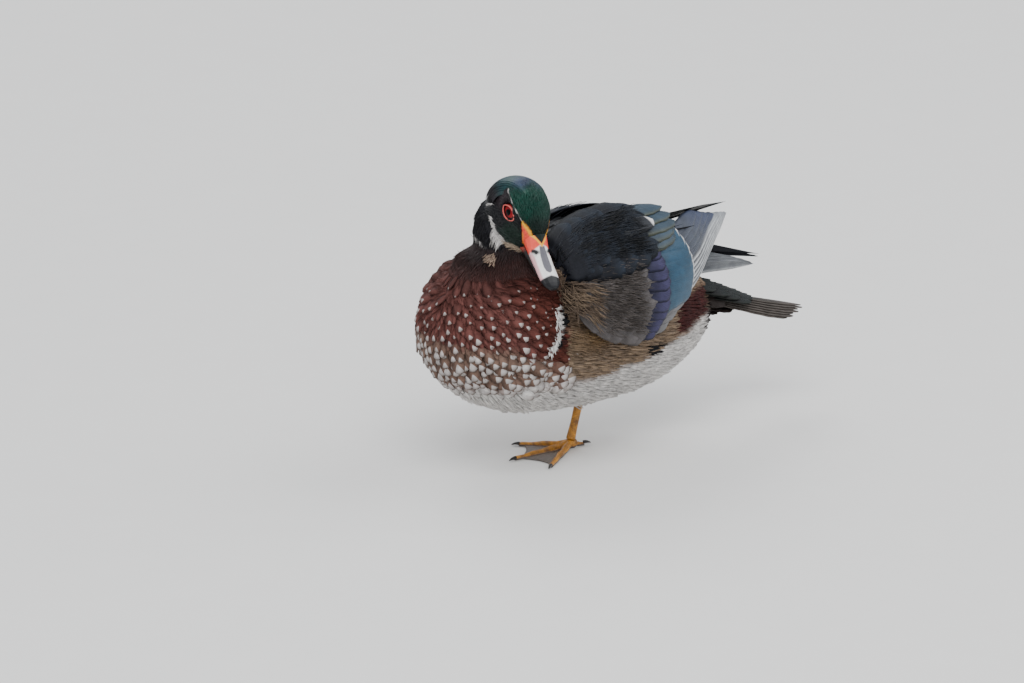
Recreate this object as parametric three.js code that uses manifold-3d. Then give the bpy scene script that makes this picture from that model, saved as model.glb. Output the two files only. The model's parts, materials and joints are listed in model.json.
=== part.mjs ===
// A wood duck drake at life size. It stands on its left leg with the right one drawn up against the belly, and
// its head is turned over its left shoulder to preen.
// Millimetres, +Z up. The breast faces -X, the tail +X, its left side -Y. The origin is on the floor, under the
// ball of the standing foot.
import * as THREE from "three";
import { mergeVertices } from "three/addons/utils/BufferGeometryUtils.js";
import Module from "manifold-3d";

const wasm = await Module();
wasm.setup();
const { Manifold, Mesh } = wasm;

// Driving dimensions
const GAP = 0.3; // between touching pieces
const BALL_OF_FOOT = [12.5, 5.5]; // of the standing foot, from the middle of the body
const TOE_LENGTHS = { inner: 34, middle: 46, outer: 46, hind: 9 };
const EYE_RADIUS = 5.6;
const HEAD = { at: [-46, -20.2, 180.5], turn: 88, bow: 40.6, roll: 11.8 };
const TAIL = { root: [96, 0, 97], droop: 16.8, length: 114, spread: 12.5 };

// The body without wings: x, half width, lowest and highest z.
const TRUNK = [
  [-105, 0, 98, 98],
  [-102, 19, 80, 117],
  [-93, 34, 66, 130],
  [-77, 46, 52, 143],
  [-56, 53, 42, 151],
  [-30, 55, 37, 156],
  [0, 55, 35, 158],
  [30, 53, 35, 157],
  [58, 47, 38, 148],
  [82, 37, 45, 131],
  [102, 26, 56, 112],
  [114, 14, 70, 100],
  [119.5, 0, 85, 85],
];
// The middle of the neck and its radius, from inside the breast to inside the head.
const NECK = [
  [-62, -3, 118, 34],
  [-58, -4, 134, 30],
  [-51, -5.5, 149, 23],
  [-51, -4.5, 163, 21.2],
  [-49, -4.5, 176, 19],
  [-47, -6, 187, 11],
];
// The head in its own frame: distance ahead of its middle, half width, lowest and highest z.
const SKULL = [
  [-21, 0, 2, 2],
  [-19.5, 8, -6, 8.5],
  [-15, 13, -14, 14],
  [-8, 16, -19, 17.5],
  [0, 16.6, -21.5, 18],
  [9, 15.2, -21, 15.5],
  [16, 11.6, -18.5, 9.5],
  [21, 8, -15, 4],
  [23.5, 0, -6, -6],
];
const UPPER_BILL = [
  [13, 8.6, -10, 8],
  [22, 8.8, -10.8, 2],
  [31, 8.3, -11.6, -3],
  [40, 8.0, -12.3, -5.6],
  [48.5, 8.2, -12.9, -7.2],
  [54, 6.8, -13.1, -8.4],
  [56.8, 3.2, -12.8, -9.8],
];
const LOWER_BILL = [
  [13, 6.6, -17, -9.6],
  [24, 6.2, -15.8, -9.9],
  [36, 5.7, -15, -10.7],
  [46, 5.3, -14.8, -11.5],
  [52, 3.4, -14.4, -12.2],
];

// Each folded wing as a sheet between its lower and its upper edge, from the wrist to the tip, and how far its
// middle bulges out. The left wing is held up off the rump, and the right one lies on it.
const LEFT_WING = {
  lower: [
    [-32, -54, 114], [-12, -59, 99], [18, -59, 91], [52, -50, 96], [87, -31, 101], [125, -2, 112], [160, 22, 131],
  ],
  upper: [
    [-32, -28, 146], [-8, -17, 156], [22, -12, 160], [55, -8, 158], [88, -3, 154], [119, 7, 151], [157, 21, 141],
  ],
  bulge: [[6], [13], [16], [15], [10], [4], [0]],
};
const RIGHT_WING = {
  lower: [
    [-32, 54, 114], [-12, 59, 99], [18, 59, 88], [54, 52, 85], [90, 41, 86], [134, 27, 89], [184, 19, 90],
  ],
  upper: [
    [-32, 30, 139], [-8, 19, 149], [22, 13, 156], [55, 9, 151], [90, 8, 134], [130, 10, 117], [180, 15, 102],
  ],
  bulge: [[5], [10], [14], [15], [10], [4], [0]],
};

const radians = THREE.MathUtils.degToRad;
const lerp = THREE.MathUtils.lerp;
const point = (p) => new THREE.Vector3(...p);

// Random numbers from 0 to 1 that are the same each time.
function seeded(seed) {
  let state = seed;
  return () => {
    state = (Math.imul(state, 1664525) + 1013904223) >>> 0;
    return state / 4294967296;
  };
}

// The row at t, from 0 to 1, on a smooth curve through the rows of a table.
function along(rows, t) {
  const last = rows.length - 1;
  const place = THREE.MathUtils.clamp(t, 0, 1) * last;
  const i = Math.min(Math.floor(place), last - 1);
  const u = place - i;
  const [b, c] = [rows[i], rows[i + 1]];
  return b.map((value, k) => {
    const before = i > 0 ? rows[i - 1][k] : 2 * value - c[k];
    const after = i + 2 <= last ? rows[i + 2][k] : 2 * c[k] - value;
    const [m0, m1] = [(c[k] - before) / 2, (after - value) / 2];
    const [u2, u3] = [u * u, u * u * u];
    return value * (2 * u3 - 3 * u2 + 1) + m0 * (u3 - 2 * u2 + u) + c[k] * (3 * u2 - 2 * u3) + m1 * (u3 - u2);
  });
}

// Closed solids

function solidOf(geometry) {
  const plain = new THREE.BufferGeometry();
  plain.setAttribute("position", geometry.getAttribute("position"));
  plain.setIndex(geometry.getIndex());
  const merged = mergeVertices(plain, 1e-4);
  const triVerts = new Uint32Array(merged.index.array);
  const vertProperties = new Float32Array(merged.getAttribute("position").array);
  const made = new Manifold(new Mesh({ numProp: 3, vertProperties, triVerts }));
  if (made.volume() > 0) return made;
  for (let i = 0; i < triVerts.length; i += 3) {
    [triVerts[i + 1], triVerts[i + 2]] = [triVerts[i + 2], triVerts[i + 1]];
  }
  return new Manifold(new Mesh({ numProp: 3, vertProperties, triVerts }));
}

function geometryOf(solid) {
  const mesh = solid.getMesh();
  const positions = new Float32Array(mesh.numVert * 3);
  for (let i = 0; i < mesh.numVert; i++) {
    positions.set(mesh.vertProperties.subarray(i * mesh.numProp, i * mesh.numProp + 3), i * 3);
  }
  const geometry = new THREE.BufferGeometry();
  geometry.setAttribute("position", new THREE.BufferAttribute(positions, 3));
  geometry.setIndex(new THREE.BufferAttribute(mesh.triVerts, 1));
  geometry.computeVertexNormals();
  return geometry;
}

// The largest closed body of a solid.
function largest(solid) {
  return solid.decompose().reduce((best, body) => (body.volume() > best.volume() ? body : best));
}

// The solid moved by an object's place and turn, or back by its inverse.
function placed(solid, object, back = false) {
  object.updateMatrix();
  const matrix = back ? object.matrix.clone().invert() : object.matrix;
  return solid.transform(matrix.elements);
}

// Rings of points joined into a closed surface, each end drawn together in its middle. With alike, a flat ring's
// two faces are split the same way, so that a thin piece that curves keeps its thickness.
function loft(rings, alike = false) {
  const count = rings[0].length;
  const positions = rings.flat().flatMap((p) => [p.x, p.y, p.z]);
  const index = [];
  for (let i = 0; i + 1 < rings.length; i++) {
    for (let j = 0; j < count; j++) {
      const next = (j + 1) % count;
      const [a, b, c, d] = [i * count + j, i * count + next, (i + 1) * count + next, (i + 1) * count + j];
      if (alike && j >= count / 2) index.push(a, b, d, b, c, d);
      else index.push(a, b, c, a, c, d);
    }
  }
  for (const [ring, turn] of [[0, 1], [rings.length - 1, 0]]) {
    const middle = rings[ring].reduce((sum, p) => sum.add(p), new THREE.Vector3()).divideScalar(count);
    const centre = positions.length / 3;
    positions.push(middle.x, middle.y, middle.z);
    for (let j = 0; j < count; j++) {
      const pair = [ring * count + j, ring * count + ((j + 1) % count)];
      if (turn) pair.reverse();
      index.push(centre, ...pair);
    }
  }
  const geometry = new THREE.BufferGeometry();
  geometry.setAttribute("position", new THREE.Float32BufferAttribute(positions, 3));
  geometry.setIndex(index);
  return solidOf(geometry);
}

// A body along X through rows of x, half width, lowest z and highest z, made larger all over by grow.
function bodyAlongX(rows, { grow = 0, rings = 20, sides = 24, squareness = 2.2 } = {}) {
  const made = [];
  const way = Math.sign(rows[rows.length - 1][0] - rows[0][0]);
  for (let i = 0; i <= rings; i++) {
    const [x, w, low, high] = along(rows, i / rings);
    const half = [Math.max(w, 0.4) + grow, Math.max((high - low) / 2, 0.4) + grow];
    const end = i === 0 ? -grow * way : i === rings ? grow * way : 0;
    const ring = [];
    for (let j = 0; j < sides; j++) {
      const angle = (2 * Math.PI * j) / sides;
      const [c, s] = [Math.cos(angle), Math.sin(angle)];
      const out = (Math.abs(c) ** squareness + Math.abs(s) ** squareness) ** (-1 / squareness);
      ring.push(new THREE.Vector3(x + end, half[0] * out * c, (low + high) / 2 + half[1] * out * s));
    }
    made.push(ring);
  }
  return loft(made);
}

// A round body along a path through rows of x, y, z and radius, flattened by flat in its second direction.
function bodyAlongPath(rows, { grow = 0, rings = 12, sides = 16, flat = 1 } = {}) {
  const made = [];
  for (let i = 0; i <= rings; i++) {
    const [x, y, z, r] = along(rows, i / rings);
    const ahead = point(along(rows, Math.min(i / rings + 0.01, 1)).slice(0, 3));
    const behind = point(along(rows, Math.max(i / rings - 0.01, 0)).slice(0, 3));
    const direction = ahead.sub(behind).normalize();
    const side = new THREE.Vector3(0, 1, 0).cross(direction).normalize();
    const other = direction.clone().cross(side);
    const centre = new THREE.Vector3(x, y, z);
    if (i === 0) centre.addScaledVector(direction, -grow);
    if (i === rings) centre.addScaledVector(direction, grow);
    const ring = [];
    for (let j = 0; j < sides; j++) {
      const angle = (2 * Math.PI * j) / sides;
      ring.push(
        centre
          .clone()
          .addScaledVector(side, (r + grow) * Math.cos(angle))
          .addScaledVector(other, (r * flat + grow) * Math.sin(angle)),
      );
    }
    made.push(ring);
  }
  return loft(made);
}

function ball(radius, [x, y, z], [sx, sy, sz] = [1, 1, 1], sides = 16) {
  const geometry = new THREE.SphereGeometry(radius, sides, Math.round(sides * 0.6));
  geometry.deleteAttribute("normal");
  geometry.deleteAttribute("uv");
  geometry.scale(sx, sy, sz).translate(x, y, z);
  return solidOf(geometry);
}

// Feathers on a sheet

// A sheet is a function of (a, b, h) that gives a point h above the surface at (a, b). This one has its surface
// from place(a, b) and its outward side on the side that outward points to.
function sheetOf(place, outward) {
  const step = 1e-3;
  return (a, b, h = 0) => {
    const at = place(a, b);
    const normal = place(a + step, b)
      .sub(at)
      .cross(place(a, b + step).sub(at))
      .normalize();
    if (normal.dot(outward(at)) < 0) normal.negate();
    return at.addScaledVector(normal, h);
  };
}

// The folded wing between its two edges, with b from 0 at the lower edge to 1 at the upper one.
function wingSheet({ lower, upper, bulge }) {
  const side = new THREE.Vector3(0, Math.sign(lower[0][1]), 0.6);
  const place = (a, b) => {
    const [low, high] = [point(along(lower, a)), point(along(upper, a))];
    const run = point(along(lower, Math.min(a + 0.02, 1))).sub(point(along(lower, Math.max(a - 0.02, 0))));
    const out = run.cross(high.clone().sub(low)).normalize();
    if (out.dot(side) < 0) out.negate();
    return low.lerp(high, b).addScaledVector(out, along(bulge, a)[0] * 4 * b * (1 - b));
  };
  return sheetOf(place, () => side);
}

// How wide a feather is at s, from its root at 0 to its tip at 1, as a share of its full half width.
const OUTLINES = {
  blade: [0.5, 0.95, 0.95, 0.34],
  round: [0.55, 1, 1, 0.5],
  pointed: [0.5, 1, 0.85, 0.16],
};
const STATIONS = [0, 0.25, 0.75, 1];

// One feather on a sheet: a thin closed vane from its root (a, b) to its tip, with its edges tilted.
function feather(sheet, { root, tip, halfWidth, height, sink, tilt = 0, thick = 0.9, outline = "blade", bow = 0 }) {
  const step = 1e-3;
  const rings = STATIONS.map((s, k) => {
    const swing = bow * 4 * s * (1 - s);
    const [a, b] = [lerp(root[0], tip[0], s), lerp(root[1], tip[1], s) + swing];
    const [a2, b2] = [a + (tip[0] - root[0]) * step, b + (tip[1] - root[1] + bow * 4 * (1 - 2 * s)) * step];
    const at = sheet(a, b);
    const run = sheet(a2, b2).sub(at).normalize();
    const alongA = sheet(a + step, b).sub(at).divideScalar(step);
    const alongB = sheet(a, b + step).sub(at).divideScalar(step);
    const across = alongA.clone().cross(alongB).normalize().cross(run);
    if (across.dot(alongB) < 0) across.negate();
    const [da, db] = [across.dot(alongA) / alongA.lengthSq(), across.dot(alongB) / alongB.lengthSq()];
    const w = halfWidth * OUTLINES[outline][k];
    const h = height - sink * Math.max(0, 1 - s / STATIONS[1]);
    const t = thick * (k === STATIONS.length - 1 ? 0.4 : 0.5);
    return [
      sheet(a - da * w, b - db * w, h + tilt * w),
      sheet(a, b, h + t),
      sheet(a + da * w, b + db * w, h - tilt * w),
      sheet(a, b, h - t),
    ];
  });
  return loft(rings, true);
}

// A row of overlapping feathers, each between its place in the first and in the last feather. tips curves the
// row of tips, and lift raises each feather over the one before.
function tier(sheet, { count, roots, tips, curve = 0, jitter = 0, seed = 1, lift = 0, ...rest }) {
  const random = seeded(seed);
  return Array.from({ length: count }, (_, i) => {
    const s = count > 1 ? i / (count - 1) : 0.5;
    const vary = (random() - 0.5) * jitter;
    const root = [0, 1].map((k) => lerp(roots[0][k], roots[1][k], s));
    const tip = [0, 1].map((k) => lerp(tips[0][k], tips[1][k], s));
    tip[0] += curve * Math.sin(Math.PI * s) + vary;
    return feather(sheet, { ...rest, root, tip, height: rest.height + lift * i });
  });
}

// A plate under a sheet that feathers root in: from a0 to a1 and b0 to b1, over and under the sheet.
function plate(sheet, { a: [a0, a1], b: [b0, b1], over, under, rings = 8, sides = 7 }) {
  const made = [];
  for (let i = 0; i <= rings; i++) {
    const end = i === 0 || i === rings ? 0.55 : 1;
    const a = lerp(a0, a1, i / rings);
    const ring = [];
    for (const [sign, height] of [[1, over], [-1, under]]) {
      for (let j = 0; j < sides; j++) {
        const s = sign > 0 ? j / sides : 1 - j / sides;
        const h = sign * height * end * Math.sqrt(Math.max(0, 1 - (2 * s - 1) ** 2));
        ring.push(sheet(a, lerp(b0, b1, s), h));
      }
    }
    made.push(ring);
  }
  return loft(made, true);
}

// Materials

const finish = (color, roughness) => new THREE.MeshStandardMaterial({ color, roughness, metalness: 0 });
const MATERIALS = {
  breast: finish("#6b3325", 0.8),
  headFeathers: finish("#12402f", 0.45),
  crest: finish("#153c3c", 0.4),
  neckFeathers: finish("#3a1c1a", 0.8),
  upperBill: finish("#e9dcd6", 0.4),
  lowerBill: finish("#3a3434", 0.5),
  eye: finish("#c02a2c", 0.1),
  coverts: finish("#59504a", 0.7),
  primaries: finish("#8b8f9a", 0.55),
  tail: finish("#3b332f", 0.6),
  belly: finish("#d9d6d0", 0.85),
  legSkin: finish("#c98a3a", 0.6),
  claw: finish("#2b2622", 0.5),
};

const duck = new THREE.Group();
const body = new THREE.Group();
body.position.set(-BALL_OF_FOOT[0], -BALL_OF_FOOT[1], 0);
duck.add(body);
const head = new THREE.Group();
head.position.set(...HEAD.at);
head.rotation.set(radians(HEAD.roll), radians(-HEAD.bow), radians(HEAD.turn), "ZYX");
body.add(head);

function add(parent, name, solid, material) {
  const mesh = new THREE.Mesh(geometryOf(largest(solid)), material);
  mesh.name = name;
  parent.add(mesh);
}

// Trunk, neck and thighs

const THIGH = {
  left: { at: [21, 7, 51], radii: [25, 20, 22] },
  right: { at: [47, 28, 60], radii: [24, 19, 20] },
};
const thighBall = (side, grow) => {
  const { at, radii } = THIGH[side];
  return ball(1, at, radii.map((r) => r + grow));
};
const trunk = bodyAlongX(TRUNK);
const trunkRoom = bodyAlongX(TRUNK, { grow: GAP });
add(body, "torso", trunk, MATERIALS.breast);

const faceForward = (rows) => rows.map(([ahead, ...rest]) => [-ahead, ...rest]);
const skull = bodyAlongX(faceForward(SKULL), { rings: 15, sides: 18, squareness: 2.1 });
const skullRoom = bodyAlongX(faceForward(SKULL), { rings: 15, sides: 18, squareness: 2.1, grow: GAP });
const lowerBill = bodyAlongX(faceForward(LOWER_BILL), { rings: 8, sides: 12 });
const lowerRoom = bodyAlongX(faceForward(LOWER_BILL), { rings: 8, sides: 12, grow: GAP });
const neck = bodyAlongPath(NECK, { rings: 8, sides: 18 })
  .subtract(trunkRoom)
  .subtract(placed(skullRoom.add(lowerRoom), head));
const neckRoom = bodyAlongPath(NECK, { rings: 8, sides: 18, grow: GAP });
add(body, "neck", neck, MATERIALS.neckFeathers);

// Head, with the eyes in their lids, and the bill

const EYE = { ahead: 1, side: 12.2, up: 1.8, sides: 12 };
const LID = { radius: 5.3, tube: 0.95, stretch: [1.2, 0.9], out: 4.1, sides: [4, 12] };
const NOSTRIL = { ahead: 32, side: 6.4, up: -5.6, radii: [2.2, 1.6, 1] };
const eyes = { right: 1, left: -1 };
let face = skull;
for (const sign of Object.values(eyes)) {
  const at = [-EYE.ahead, sign * EYE.side, EYE.up];
  const lid = new THREE.TorusGeometry(LID.radius, LID.tube, ...LID.sides);
  lid.deleteAttribute("normal");
  lid.deleteAttribute("uv");
  lid.scale(LID.stretch[0], LID.stretch[1], 1).rotateX(Math.PI / 2);
  lid.translate(at[0], sign * (EYE.side + LID.out), at[2]);
  face = face.add(solidOf(lid)).subtract(ball(EYE_RADIUS + GAP, at, [1, 1, 1], EYE.sides));
}
add(head, "head", face, MATERIALS.headFeathers);
for (const [side, sign] of Object.entries(eyes)) {
  const at = [-EYE.ahead, sign * EYE.side, EYE.up];
  add(head, `eye_${side}`, ball(EYE_RADIUS, at, [1, 1, 1], EYE.sides), MATERIALS.eye);
}

const nostrils = [-1, 1].map((sign) =>
  ball(1, [-NOSTRIL.ahead, sign * NOSTRIL.side, NOSTRIL.up], NOSTRIL.radii, 8),
);
const upperBill = bodyAlongX(faceForward(UPPER_BILL), { rings: 10, sides: 12, squareness: 2.3 });
add(head, "bill_upper", upperBill.subtract(skullRoom).subtract(lowerRoom).subtract(Manifold.union(nostrils)), MATERIALS.upperBill);
add(head, "bill_lower", lowerBill.subtract(skullRoom), MATERIALS.lowerBill);

// Crest: tiers of long feathers from the crown over the nape

// It runs over an arc from the crown, drawn out behind, and each ring of it is an arc across the head.
const CREST = {
  turn: [-6, 148], spread: [50, 72], reach: [15.5, 17], wide: 1.12,
  middle: { back: 4, up: 1.5 }, arc: { back: 17, up: 15.5 }, drawn: { back: 8, up: -6.5 },
};
const crestSheet = sheetOf((a, b) => {
  const turn = radians(lerp(...CREST.turn, a));
  const reach = lerp(...CREST.reach, a);
  const angle = radians(lerp(...CREST.spread, a)) * (2 * b - 1);
  const back = CREST.middle.back + CREST.arc.back * Math.sin(turn) + CREST.drawn.back * a;
  const up = CREST.middle.up + CREST.arc.up * Math.cos(turn) + CREST.drawn.up * a;
  const inward = reach * (1 - Math.cos(angle));
  const side = reach * Math.sin(angle) * CREST.wide;
  return new THREE.Vector3(back - inward * Math.sin(turn), side, up - inward * Math.cos(turn));
}, (at) => new THREE.Vector3(at.x - 6, at.y, at.z - 3));
const crest = Manifold.union([
  plate(crestSheet, { a: [0.02, 0.8], b: [0.05, 0.95], over: 1.2, under: 6, rings: 8, sides: 6 }),
  ...tier(crestSheet, {
    count: 5, roots: [[0.42, 0.12], [0.42, 0.88]], tips: [[0.88, 0.12], [0.88, 0.88]], curve: 0.12,
    halfWidth: 5.2, height: 1.1, sink: 1.5, tilt: 0.12, outline: "pointed", jitter: 0.04, seed: 4,
  }),
  ...tier(crestSheet, {
    count: 5, roots: [[0.22, 0.14], [0.22, 0.86]], tips: [[0.6, 0.08], [0.6, 0.92]], curve: 0.1,
    halfWidth: 5.2, height: 2.6, sink: 2.6, tilt: 0.12, outline: "pointed", jitter: 0.04, seed: 7,
  }),
]);
const neckInHead = placed(neckRoom, head, true);
add(head, "crest", crest.subtract(skullRoom).subtract(neckInHead), MATERIALS.crest);

// Wings: an arm plate, tiers of coverts, secondaries, tertials and scapulars, and the primaries behind them

const HAND = 0.4; // where along the wing the primaries leave the arm
const wings = { left: LEFT_WING, right: RIGHT_WING };
for (const [side, edges] of Object.entries(wings)) {
  const sheet = wingSheet(edges);
  const arm = Manifold.union([
    plate(sheet, { a: [0, HAND - 0.003], b: [0.02, 0.98], over: 1.5, under: 7, rings: 7, sides: 7 }),
    ...tier(sheet, {
      count: 6, roots: [[0.32, 0.12], [0.32, 0.66]], tips: [[0.53, 0.08], [0.57, 0.62]], curve: 0.05,
      halfWidth: 10, height: 3.4, sink: 4.5, tilt: 0.12, outline: "round", jitter: 0.01, seed: 3,
    }),
    ...tier(sheet, {
      count: 3, roots: [[0.33, 0.64], [0.3, 0.92]], tips: [[0.63, 0.74], [0.6, 0.94]],
      halfWidth: 10.5, height: 4.9, sink: 5.6, tilt: 0.11, jitter: 0.02, seed: 5,
    }),
    ...tier(sheet, {
      count: 5, roots: [[0.22, 0.1], [0.24, 0.7]], tips: [[0.43, 0.08], [0.43, 0.65]],
      halfWidth: 10.2, height: 4.9, sink: 5.6, tilt: 0.12, outline: "round", jitter: 0.01, seed: 8,
    }),
    ...tier(sheet, {
      count: 3, roots: [[0.12, 0.12], [0.14, 0.6]], tips: [[0.33, 0.1], [0.31, 0.58]],
      halfWidth: 12.5, height: 6.1, sink: 7, tilt: 0.12, outline: "round", jitter: 0.02, seed: 9,
    }),
    ...tier(sheet, {
      count: 3, roots: [[0.02, 0.14], [0.04, 0.54]], tips: [[0.21, 0.12], [0.19, 0.52]],
      halfWidth: 11, height: 6.6, sink: 7, tilt: 0.11, outline: "round", jitter: 0.02, seed: 10,
    }),
    ...tier(sheet, {
      count: 3, roots: [[0.06, 0.64], [0.1, 0.93]], tips: [[0.3, 0.66], [0.36, 0.9]],
      halfWidth: 9, height: 7.3, sink: 8, tilt: 0.1, outline: "round", jitter: 0.02, seed: 12,
    }),
    ...tier(sheet, {
      count: 3, roots: [[0.2, 0.62], [0.24, 0.93]], tips: [[0.47, 0.64], [0.52, 0.9]],
      halfWidth: 9, height: 6.4, sink: 7, tilt: 0.1, outline: "round", jitter: 0.02, seed: 11,
    }),
  ]);
  const hand = Manifold.union([
    plate(sheet, { a: [HAND + 0.003, 0.56], b: [0.05, 0.62], over: 0.6, under: 5, rings: 4, sides: 6 }),
    ...tier(sheet, {
      count: 8, roots: [[0.46, 0.1], [0.46, 0.5]], tips: [[0.985, 0.25], [0.78, 0.94]], curve: 0.05,
      halfWidth: 7.5, height: -0.4, sink: 1.6, tilt: 0.11, jitter: 0.006, seed: 2,
    }),
  ]);
  add(body, `wing_${side}`, arm.subtract(trunkRoom).subtract(neckRoom), MATERIALS.coverts);
  add(body, `wing_${side}_primaries`, hand.subtract(trunkRoom), MATERIALS.primaries);
}

// Tail: a fan of rectrices with tiers of coverts over and under its root

const tailDown = radians(TAIL.droop);
const tailRun = new THREE.Vector3(Math.cos(tailDown), 0, -Math.sin(tailDown));
const tailUp = new THREE.Vector3(Math.sin(tailDown), 0, Math.cos(tailDown));
const tailSheet = sheetOf(
  (a, b) =>
    point(TAIL.root)
      .addScaledVector(tailRun, a * TAIL.length)
      .addScaledVector(tailUp, -((b * TAIL.length) ** 2) / 100)
      .add(new THREE.Vector3(0, b * TAIL.length, 0)),
  () => tailUp,
);
const PAIRS = 6;
const rectrices = [];
for (let pair = 0; pair < PAIRS; pair++) {
  for (const sign of [-1, 1]) {
    const angle = radians(((pair + 0.5) * TAIL.spread) / PAIRS) * sign;
    const reach = 1 - 0.028 * pair;
    rectrices.push(
      feather(tailSheet, {
        root: [0.12, 0.008 * (pair + 0.5) * sign],
        tip: [reach * Math.cos(angle), reach * Math.sin(angle)],
        halfWidth: 8.5,
        height: -1.05 * pair - (sign > 0 ? 0.5 : 0),
        sink: 0,
        tilt: -0.04 * sign,
        outline: "round",
      }),
    );
  }
}
const tail = Manifold.union([
  ...rectrices,
  plate(tailSheet, { a: [-0.12, 0.34], b: [-0.17, 0.17], over: 3, under: 15, rings: 5, sides: 6 }),
  ...tier(tailSheet, {
    count: 4, roots: [[0.12, -0.08], [0.12, 0.08]], tips: [[0.52, -0.12], [0.52, 0.12]], curve: 0.1,
    halfWidth: 8, height: 3, sink: 3, lift: 0.5, outline: "pointed", seed: 21,
  }),
  ...tier(tailSheet, {
    count: 4, roots: [[-0.02, -0.09], [-0.02, 0.09]], tips: [[0.32, -0.12], [0.32, 0.12]], curve: 0.06,
    halfWidth: 8, height: 6.2, sink: 7, lift: 0.4, outline: "round", seed: 22,
  }),
  ...tier(tailSheet, {
    count: 4, roots: [[0.02, -0.1], [0.02, 0.1]], tips: [[0.42, -0.12], [0.42, 0.12]], curve: 0.08,
    halfWidth: 8, height: -10, sink: -5, lift: -0.5, outline: "round", seed: 23,
  }),
]);
add(body, "tail", tail.subtract(trunkRoom), MATERIALS.tail);

// Legs: the left one stands, and the right one is drawn up with its toes closed

const TOE_RADIUS = [2.7, 1.7];
const SOLE = 0.78; // the middle of a toe lies at this share of its radius above the floor
const ANKLE_LEFT = [BALL_OF_FOOT[0] + 12, BALL_OF_FOOT[1] + 1, 42];

// A jointed toe along +X of its own frame: rows of x, y, z and radius from the ball of the foot.
function toeRows(length, joints, [r0, r1] = TOE_RADIUS) {
  const rows = [];
  for (let i = 0; i <= joints * 2; i++) {
    const s = i / (joints * 2);
    const r = lerp(r0, r1, s) * (i % 2 ? 0.88 : 1.06);
    rows.push([s * length, 0, r * SOLE + 1.2 * (1 - s) ** 3, r]);
  }
  return rows;
}
const CLAW = [
  [0, 0, 0, 1.35],
  [2.2, 0, 0.1, 1.15],
  [4.2, 0, -0.35, 0.75],
  [5.8, 0, -1.0, 0.25],
];
// The toe's own frame, turned from straight ahead towards the duck's right, and standing at the ball of the foot.
function toeFrame(angle, bow = 0, at = [0, 0, 0]) {
  const frame = new THREE.Object3D();
  frame.position.set(...at);
  frame.rotation.set(0, radians(bow), radians(180 - angle), "ZYX");
  return frame;
}
const TOES = [
  { name: "inner", angle: 44, joints: 2 },
  { name: "middle", angle: 0, joints: 3 },
  { name: "outer", angle: -36, joints: 4 },
];
const BELOW_FLOOR = solidOf(new THREE.BoxGeometry(300, 300, 20).translate(0, 0, -10));

// A foot whose toes are spread by a share of their full angle. It returns the foot and its claws.
function webbedFoot(spread, webbed) {
  const pieces = [ball(4.2, [1, 0, 3.2], [1.1, 1, 1], 10)];
  const claws = {};
  let cuts = [];
  const place = (name, length, joints, frame, tipHeight, radii) => {
    pieces.push(placed(bodyAlongPath(toeRows(length, joints, radii), { rings: joints * 2, sides: 6 }), frame));
    const tip = new THREE.Object3D();
    tip.position.set(length - 0.8, 0, tipHeight);
    tip.rotation.y = 0.02;
    tip.updateMatrix();
    frame.updateMatrix();
    const matrix = frame.matrix.clone().multiply(tip.matrix);
    claws[name] = bodyAlongPath(CLAW, { rings: 4, sides: 6 }).transform(matrix.elements).subtract(BELOW_FLOOR);
    cuts.push(bodyAlongPath(CLAW, { rings: 4, sides: 6, grow: GAP }).transform(matrix.elements));
  };
  for (const { name, angle, joints } of TOES) {
    place(name, TOE_LENGTHS[name], joints, toeFrame(angle * spread), 1.75);
  }
  place("hind", TOE_LENGTHS.hind, 2, toeFrame(192, 0, [2, 0, 0.2]), 2.1, [1.9, 1.4]);
  if (webbed) {
    const shape = new THREE.Shape();
    const end = ({ name, angle }, share) => {
      const [turn, reach] = [radians(180 - angle * spread), TOE_LENGTHS[name] * share];
      return [reach * Math.cos(turn), reach * Math.sin(turn)];
    };
    shape.moveTo(0, 0);
    shape.lineTo(...end(TOES[0], 0.9));
    const between = (a, b, share) => end(a, share).map((v, k) => (v + end(b, share)[k]) / 2);
    shape.quadraticCurveTo(...between(TOES[0], TOES[1], 0.74), ...end(TOES[1], 0.92));
    shape.quadraticCurveTo(...between(TOES[1], TOES[2], 0.76), ...end(TOES[2], 0.92));
    shape.closePath();
    const web = new THREE.ExtrudeGeometry(shape, { depth: 0.8, bevelEnabled: false, curveSegments: 4 });
    web.deleteAttribute("normal");
    web.deleteAttribute("uv");
    pieces.push(solidOf(web.translate(0, 0, 0.35)));
  }
  const foot = Manifold.union(pieces).subtract(BELOW_FLOOR).subtract(Manifold.union(cuts));
  return { foot, claws };
}

const footLeft = new THREE.Group();
footLeft.position.set(BALL_OF_FOOT[0], BALL_OF_FOOT[1], 0);
body.add(footLeft);
const standing = webbedFoot(1, true);
const shankLeftRows = [
  [BALL_OF_FOOT[0] + 0.6, BALL_OF_FOOT[1], 5.6, 3.5],
  [BALL_OF_FOOT[0] + 4, BALL_OF_FOOT[1] + 0.3, 16, 3.0],
  [BALL_OF_FOOT[0] + 8, BALL_OF_FOOT[1] + 0.6, 29, 3.2],
  [...ANKLE_LEFT, 4.2],
];
const thighLeft = thighBall("left", 0).subtract(trunkRoom);
const shankLeft = bodyAlongPath(shankLeftRows, { rings: 9, sides: 12, flat: 0.8 });
const shankLeftRoom = placed(bodyAlongPath(shankLeftRows, { rings: 9, sides: 12, flat: 0.8, grow: GAP }), footLeft, true);
add(body, "thigh_left", thighLeft, MATERIALS.belly);
add(body, "shank_left", shankLeft.subtract(thighBall("left", GAP)).subtract(trunkRoom), MATERIALS.legSkin);
add(footLeft, "foot_left", standing.foot.subtract(shankLeftRoom), MATERIALS.legSkin);
for (const [name, claw] of Object.entries(standing.claws)) {
  add(footLeft, `foot_left_claw_${name}`, claw, MATERIALS.claw);
}

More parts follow.
